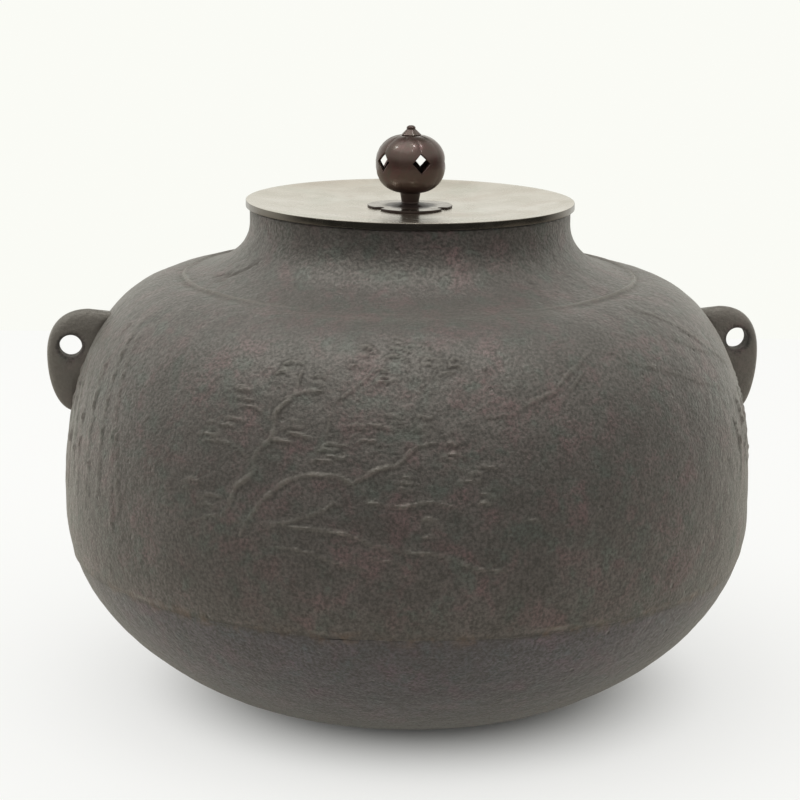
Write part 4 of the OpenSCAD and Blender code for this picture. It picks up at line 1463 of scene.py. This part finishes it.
def close_rims(work):
    """Welds the five patches, and closes the thickness of the shell round its two holes."""
    bmesh.ops.remove_doubles(work, verts=work.verts, dist=weld_gap)
    rims = [edge for edge in work.edges if edge.is_boundary]
    bmesh.ops.bridge_loops(work, edges=[e for e in rims if e.verts[0].co.z < waist_z])
    bmesh.ops.bridge_loops(work, edges=[e for e in rims if e.verts[0].co.z > waist_z])


ball_painted_shade = 0.45
ball_mesh = sew("knob_shell", ball_points, ball_faces, sharp=50, mend=close_rims)
# The ball is darkened from the waist towards the underside: painted shade.
below_waist = np.array([waist_z - vertex.co.z for vertex in ball_mesh.vertices]) / ball_mid
mark(ball_mesh, "hollow", ball_painted_shade * below_waist)
set_in_place("knob_shell_pierced", ball_mesh, dark_bronze, "lid", "knob_shell")

# %% [markdown]
# ## The finial
# The ball is closed by a small cone of bronze with a wavy edge, like a calyx, and a pin with a button
# head holds it down. The cone is turned with its radius swelling five times round, and the pin is a plain
# turned outline.

# %% Turn the finial's cone and pin
washer_low, washer_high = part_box("finial_washer")
pin_low, pin_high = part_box("finial_pin")
cone_r = washer_high.x
cone_base = washer_low.z
cone_top = washer_high.z
pin_r = 0.9 * mm
button_r = 1.8 * mm
wave_share = 0.045
cone_line = rounded([
    (pin_hole, cone_base + hair), (cone_r - 0.2 * mm, cone_base + hair, 0.1 * mm),
    (cone_r, cone_base + 0.25 * mm, 0.15 * mm), (0.45 * cone_r, cone_top, 0.2 * mm), (pin_hole, cone_top),
])
cone_turns = full_circle(120)
cone_grid = round_the_axis(cone_line, cone_turns)
wave = 1 + wave_share * np.cos(lobe_count * (cone_turns - first_lobe))
cone_grid[1:-1, :, 0] *= wave
cone_grid[1:-1, :, 1] *= wave
set_in_place("finial_cone", skin("finial_washer", cone_grid), dark_bronze, "lid", "finial_washer")
pin_line = rounded([
    (0, pin_low.z), (pin_r, pin_low.z, 0.1 * mm), (pin_r, cone_top), (button_r, cone_top + hair, 0.2 * mm),
    (button_r, pin_high.z - 0.6 * mm, 0.4 * mm), (pin_r, pin_high.z, 0.5 * mm), (0, pin_high.z),
])
pin_mesh = skin("finial_pin", round_the_axis(pin_line, full_circle(64)), closed=False)
set_in_place("finial_pin_turned", pin_mesh, dark_bronze, "lid", "finial_pin")

# %% [markdown]
# ## The singing plates
# Five slips of scrap iron lie on the floor in a ring, each in a bed of iron-filled lacquer. Steam trapped
# under them makes the kettle hum. They are broken and filed by hand, so each outline is clipped a little
# differently, and the bed creeps out round it in a soft fillet.

# %% Break and bed the plates
plate_len = 30 * mm
plate_w = 14 * mm
plate_t = 2.5 * mm
bed_t = 0.8 * mm
bed_margin = 1.5 * mm
bed_apart = 1 * mm
plate_count = 5
slip_seed = 5
slip_dice = random.Random(slip_seed)


def slip_outline(margin, jitter, per_side=6):
    """Points round a clipped slip, pushed about by a jitter."""
    half_len = plate_len / 2 + margin
    half_w = plate_w / 2 + margin
    clip = plate_w / 4
    tips = [(-half_len, -half_w + clip), (-half_len + clip, -half_w), (half_len, -half_w),
            (half_len, half_w - clip), (half_len - 1.5 * clip, half_w), (-half_len, half_w)]
    line = []
    for (x0, y0), (x1, y1) in zip(tips, tips[1:] + tips[:1]):
        for share in np.linspace(0, 1, per_side, endpoint=False):
            pull = 1 - slip_dice.uniform(0, jitter)
            line.append(((x0 + share * (x1 - x0)) * pull, (y0 + share * (y1 - y0)) * pull))
    return np.array(line)


def slab(outline, levels):
    """Rows of points for a flat slip: the outline at each (height, inset share), closed at both ends."""
    middle = outline.mean(axis=0)
    rows = []
    for z, share in levels:
        ring = middle + (outline - middle) * (1 - share)
        rows.append(np.column_stack([ring, np.full(len(ring), z)]))
    return np.array(rows)


def on_floor(points, index):
    """Moves a slip to its place in the ring."""
    turn = 2 * math.pi * index / plate_count
    bed_half = plate_len / 2 + bed_margin
    away = (bed_half + bed_apart) / math.tan(math.pi / plate_count) + plate_w / 2 + bed_margin
    spin = np.array([(math.cos(turn), math.sin(turn), 0), (-math.sin(turn), math.cos(turn), 0), (0, 0, 1)])
    return (points + (0, -away, 0)) @ spin


for index in range(plate_count):
    number = str(index + 1)
    bed_top = floor_z + bed_t
    bed_levels = [(floor_z, 1.0), (floor_z, 0.0), (floor_z + 0.35 * mm, 0.01), (bed_top - 0.1 * mm, 0.05),
                  (bed_top, 0.09), (bed_top, 1.0)]
    bed_mesh = skin("plate_bed_" + number, on_floor(slab(slip_outline(bed_margin, 0.02), bed_levels), index),
                    closed=False)
    set_in_place("plate_bed_spread_" + number, bed_mesh, lacquer, "kettle", "plate_bed_" + number)
    top = bed_top + plate_t
    slip_levels = [(bed_top, 1.0), (bed_top, 0.02), (bed_top + 0.3 * mm, 0.0), (top - 0.4 * mm, 0.0),
                   (top, 0.035), (top, 1.0)]
    slip_mesh = skin("singing_plate_" + number, on_floor(slab(slip_outline(0, 0.05), slip_levels), index),
                     closed=False)
    set_in_place("singing_plate_filed_" + number, slip_mesh, plate_iron, "kettle", "singing_plate_" + number)

# %% [markdown]
# ## The seal and the washer
# A bead of lacquer seals the lap inside, and a plain washer spreads the pull of the stem's tail under the
# lid. Both solids have the right shape as they are, so they stay, and only take a finish.

# %% Finish the solids that stay
for name, finish in (("seam_lacquer", lacquer), ("rivet_washer", lid_bronze)):
    solid = frame["nodes"][name]
    solid.data.materials.clear()
    solid.data.materials.append(finish)
    print(name, "keeps its solid")
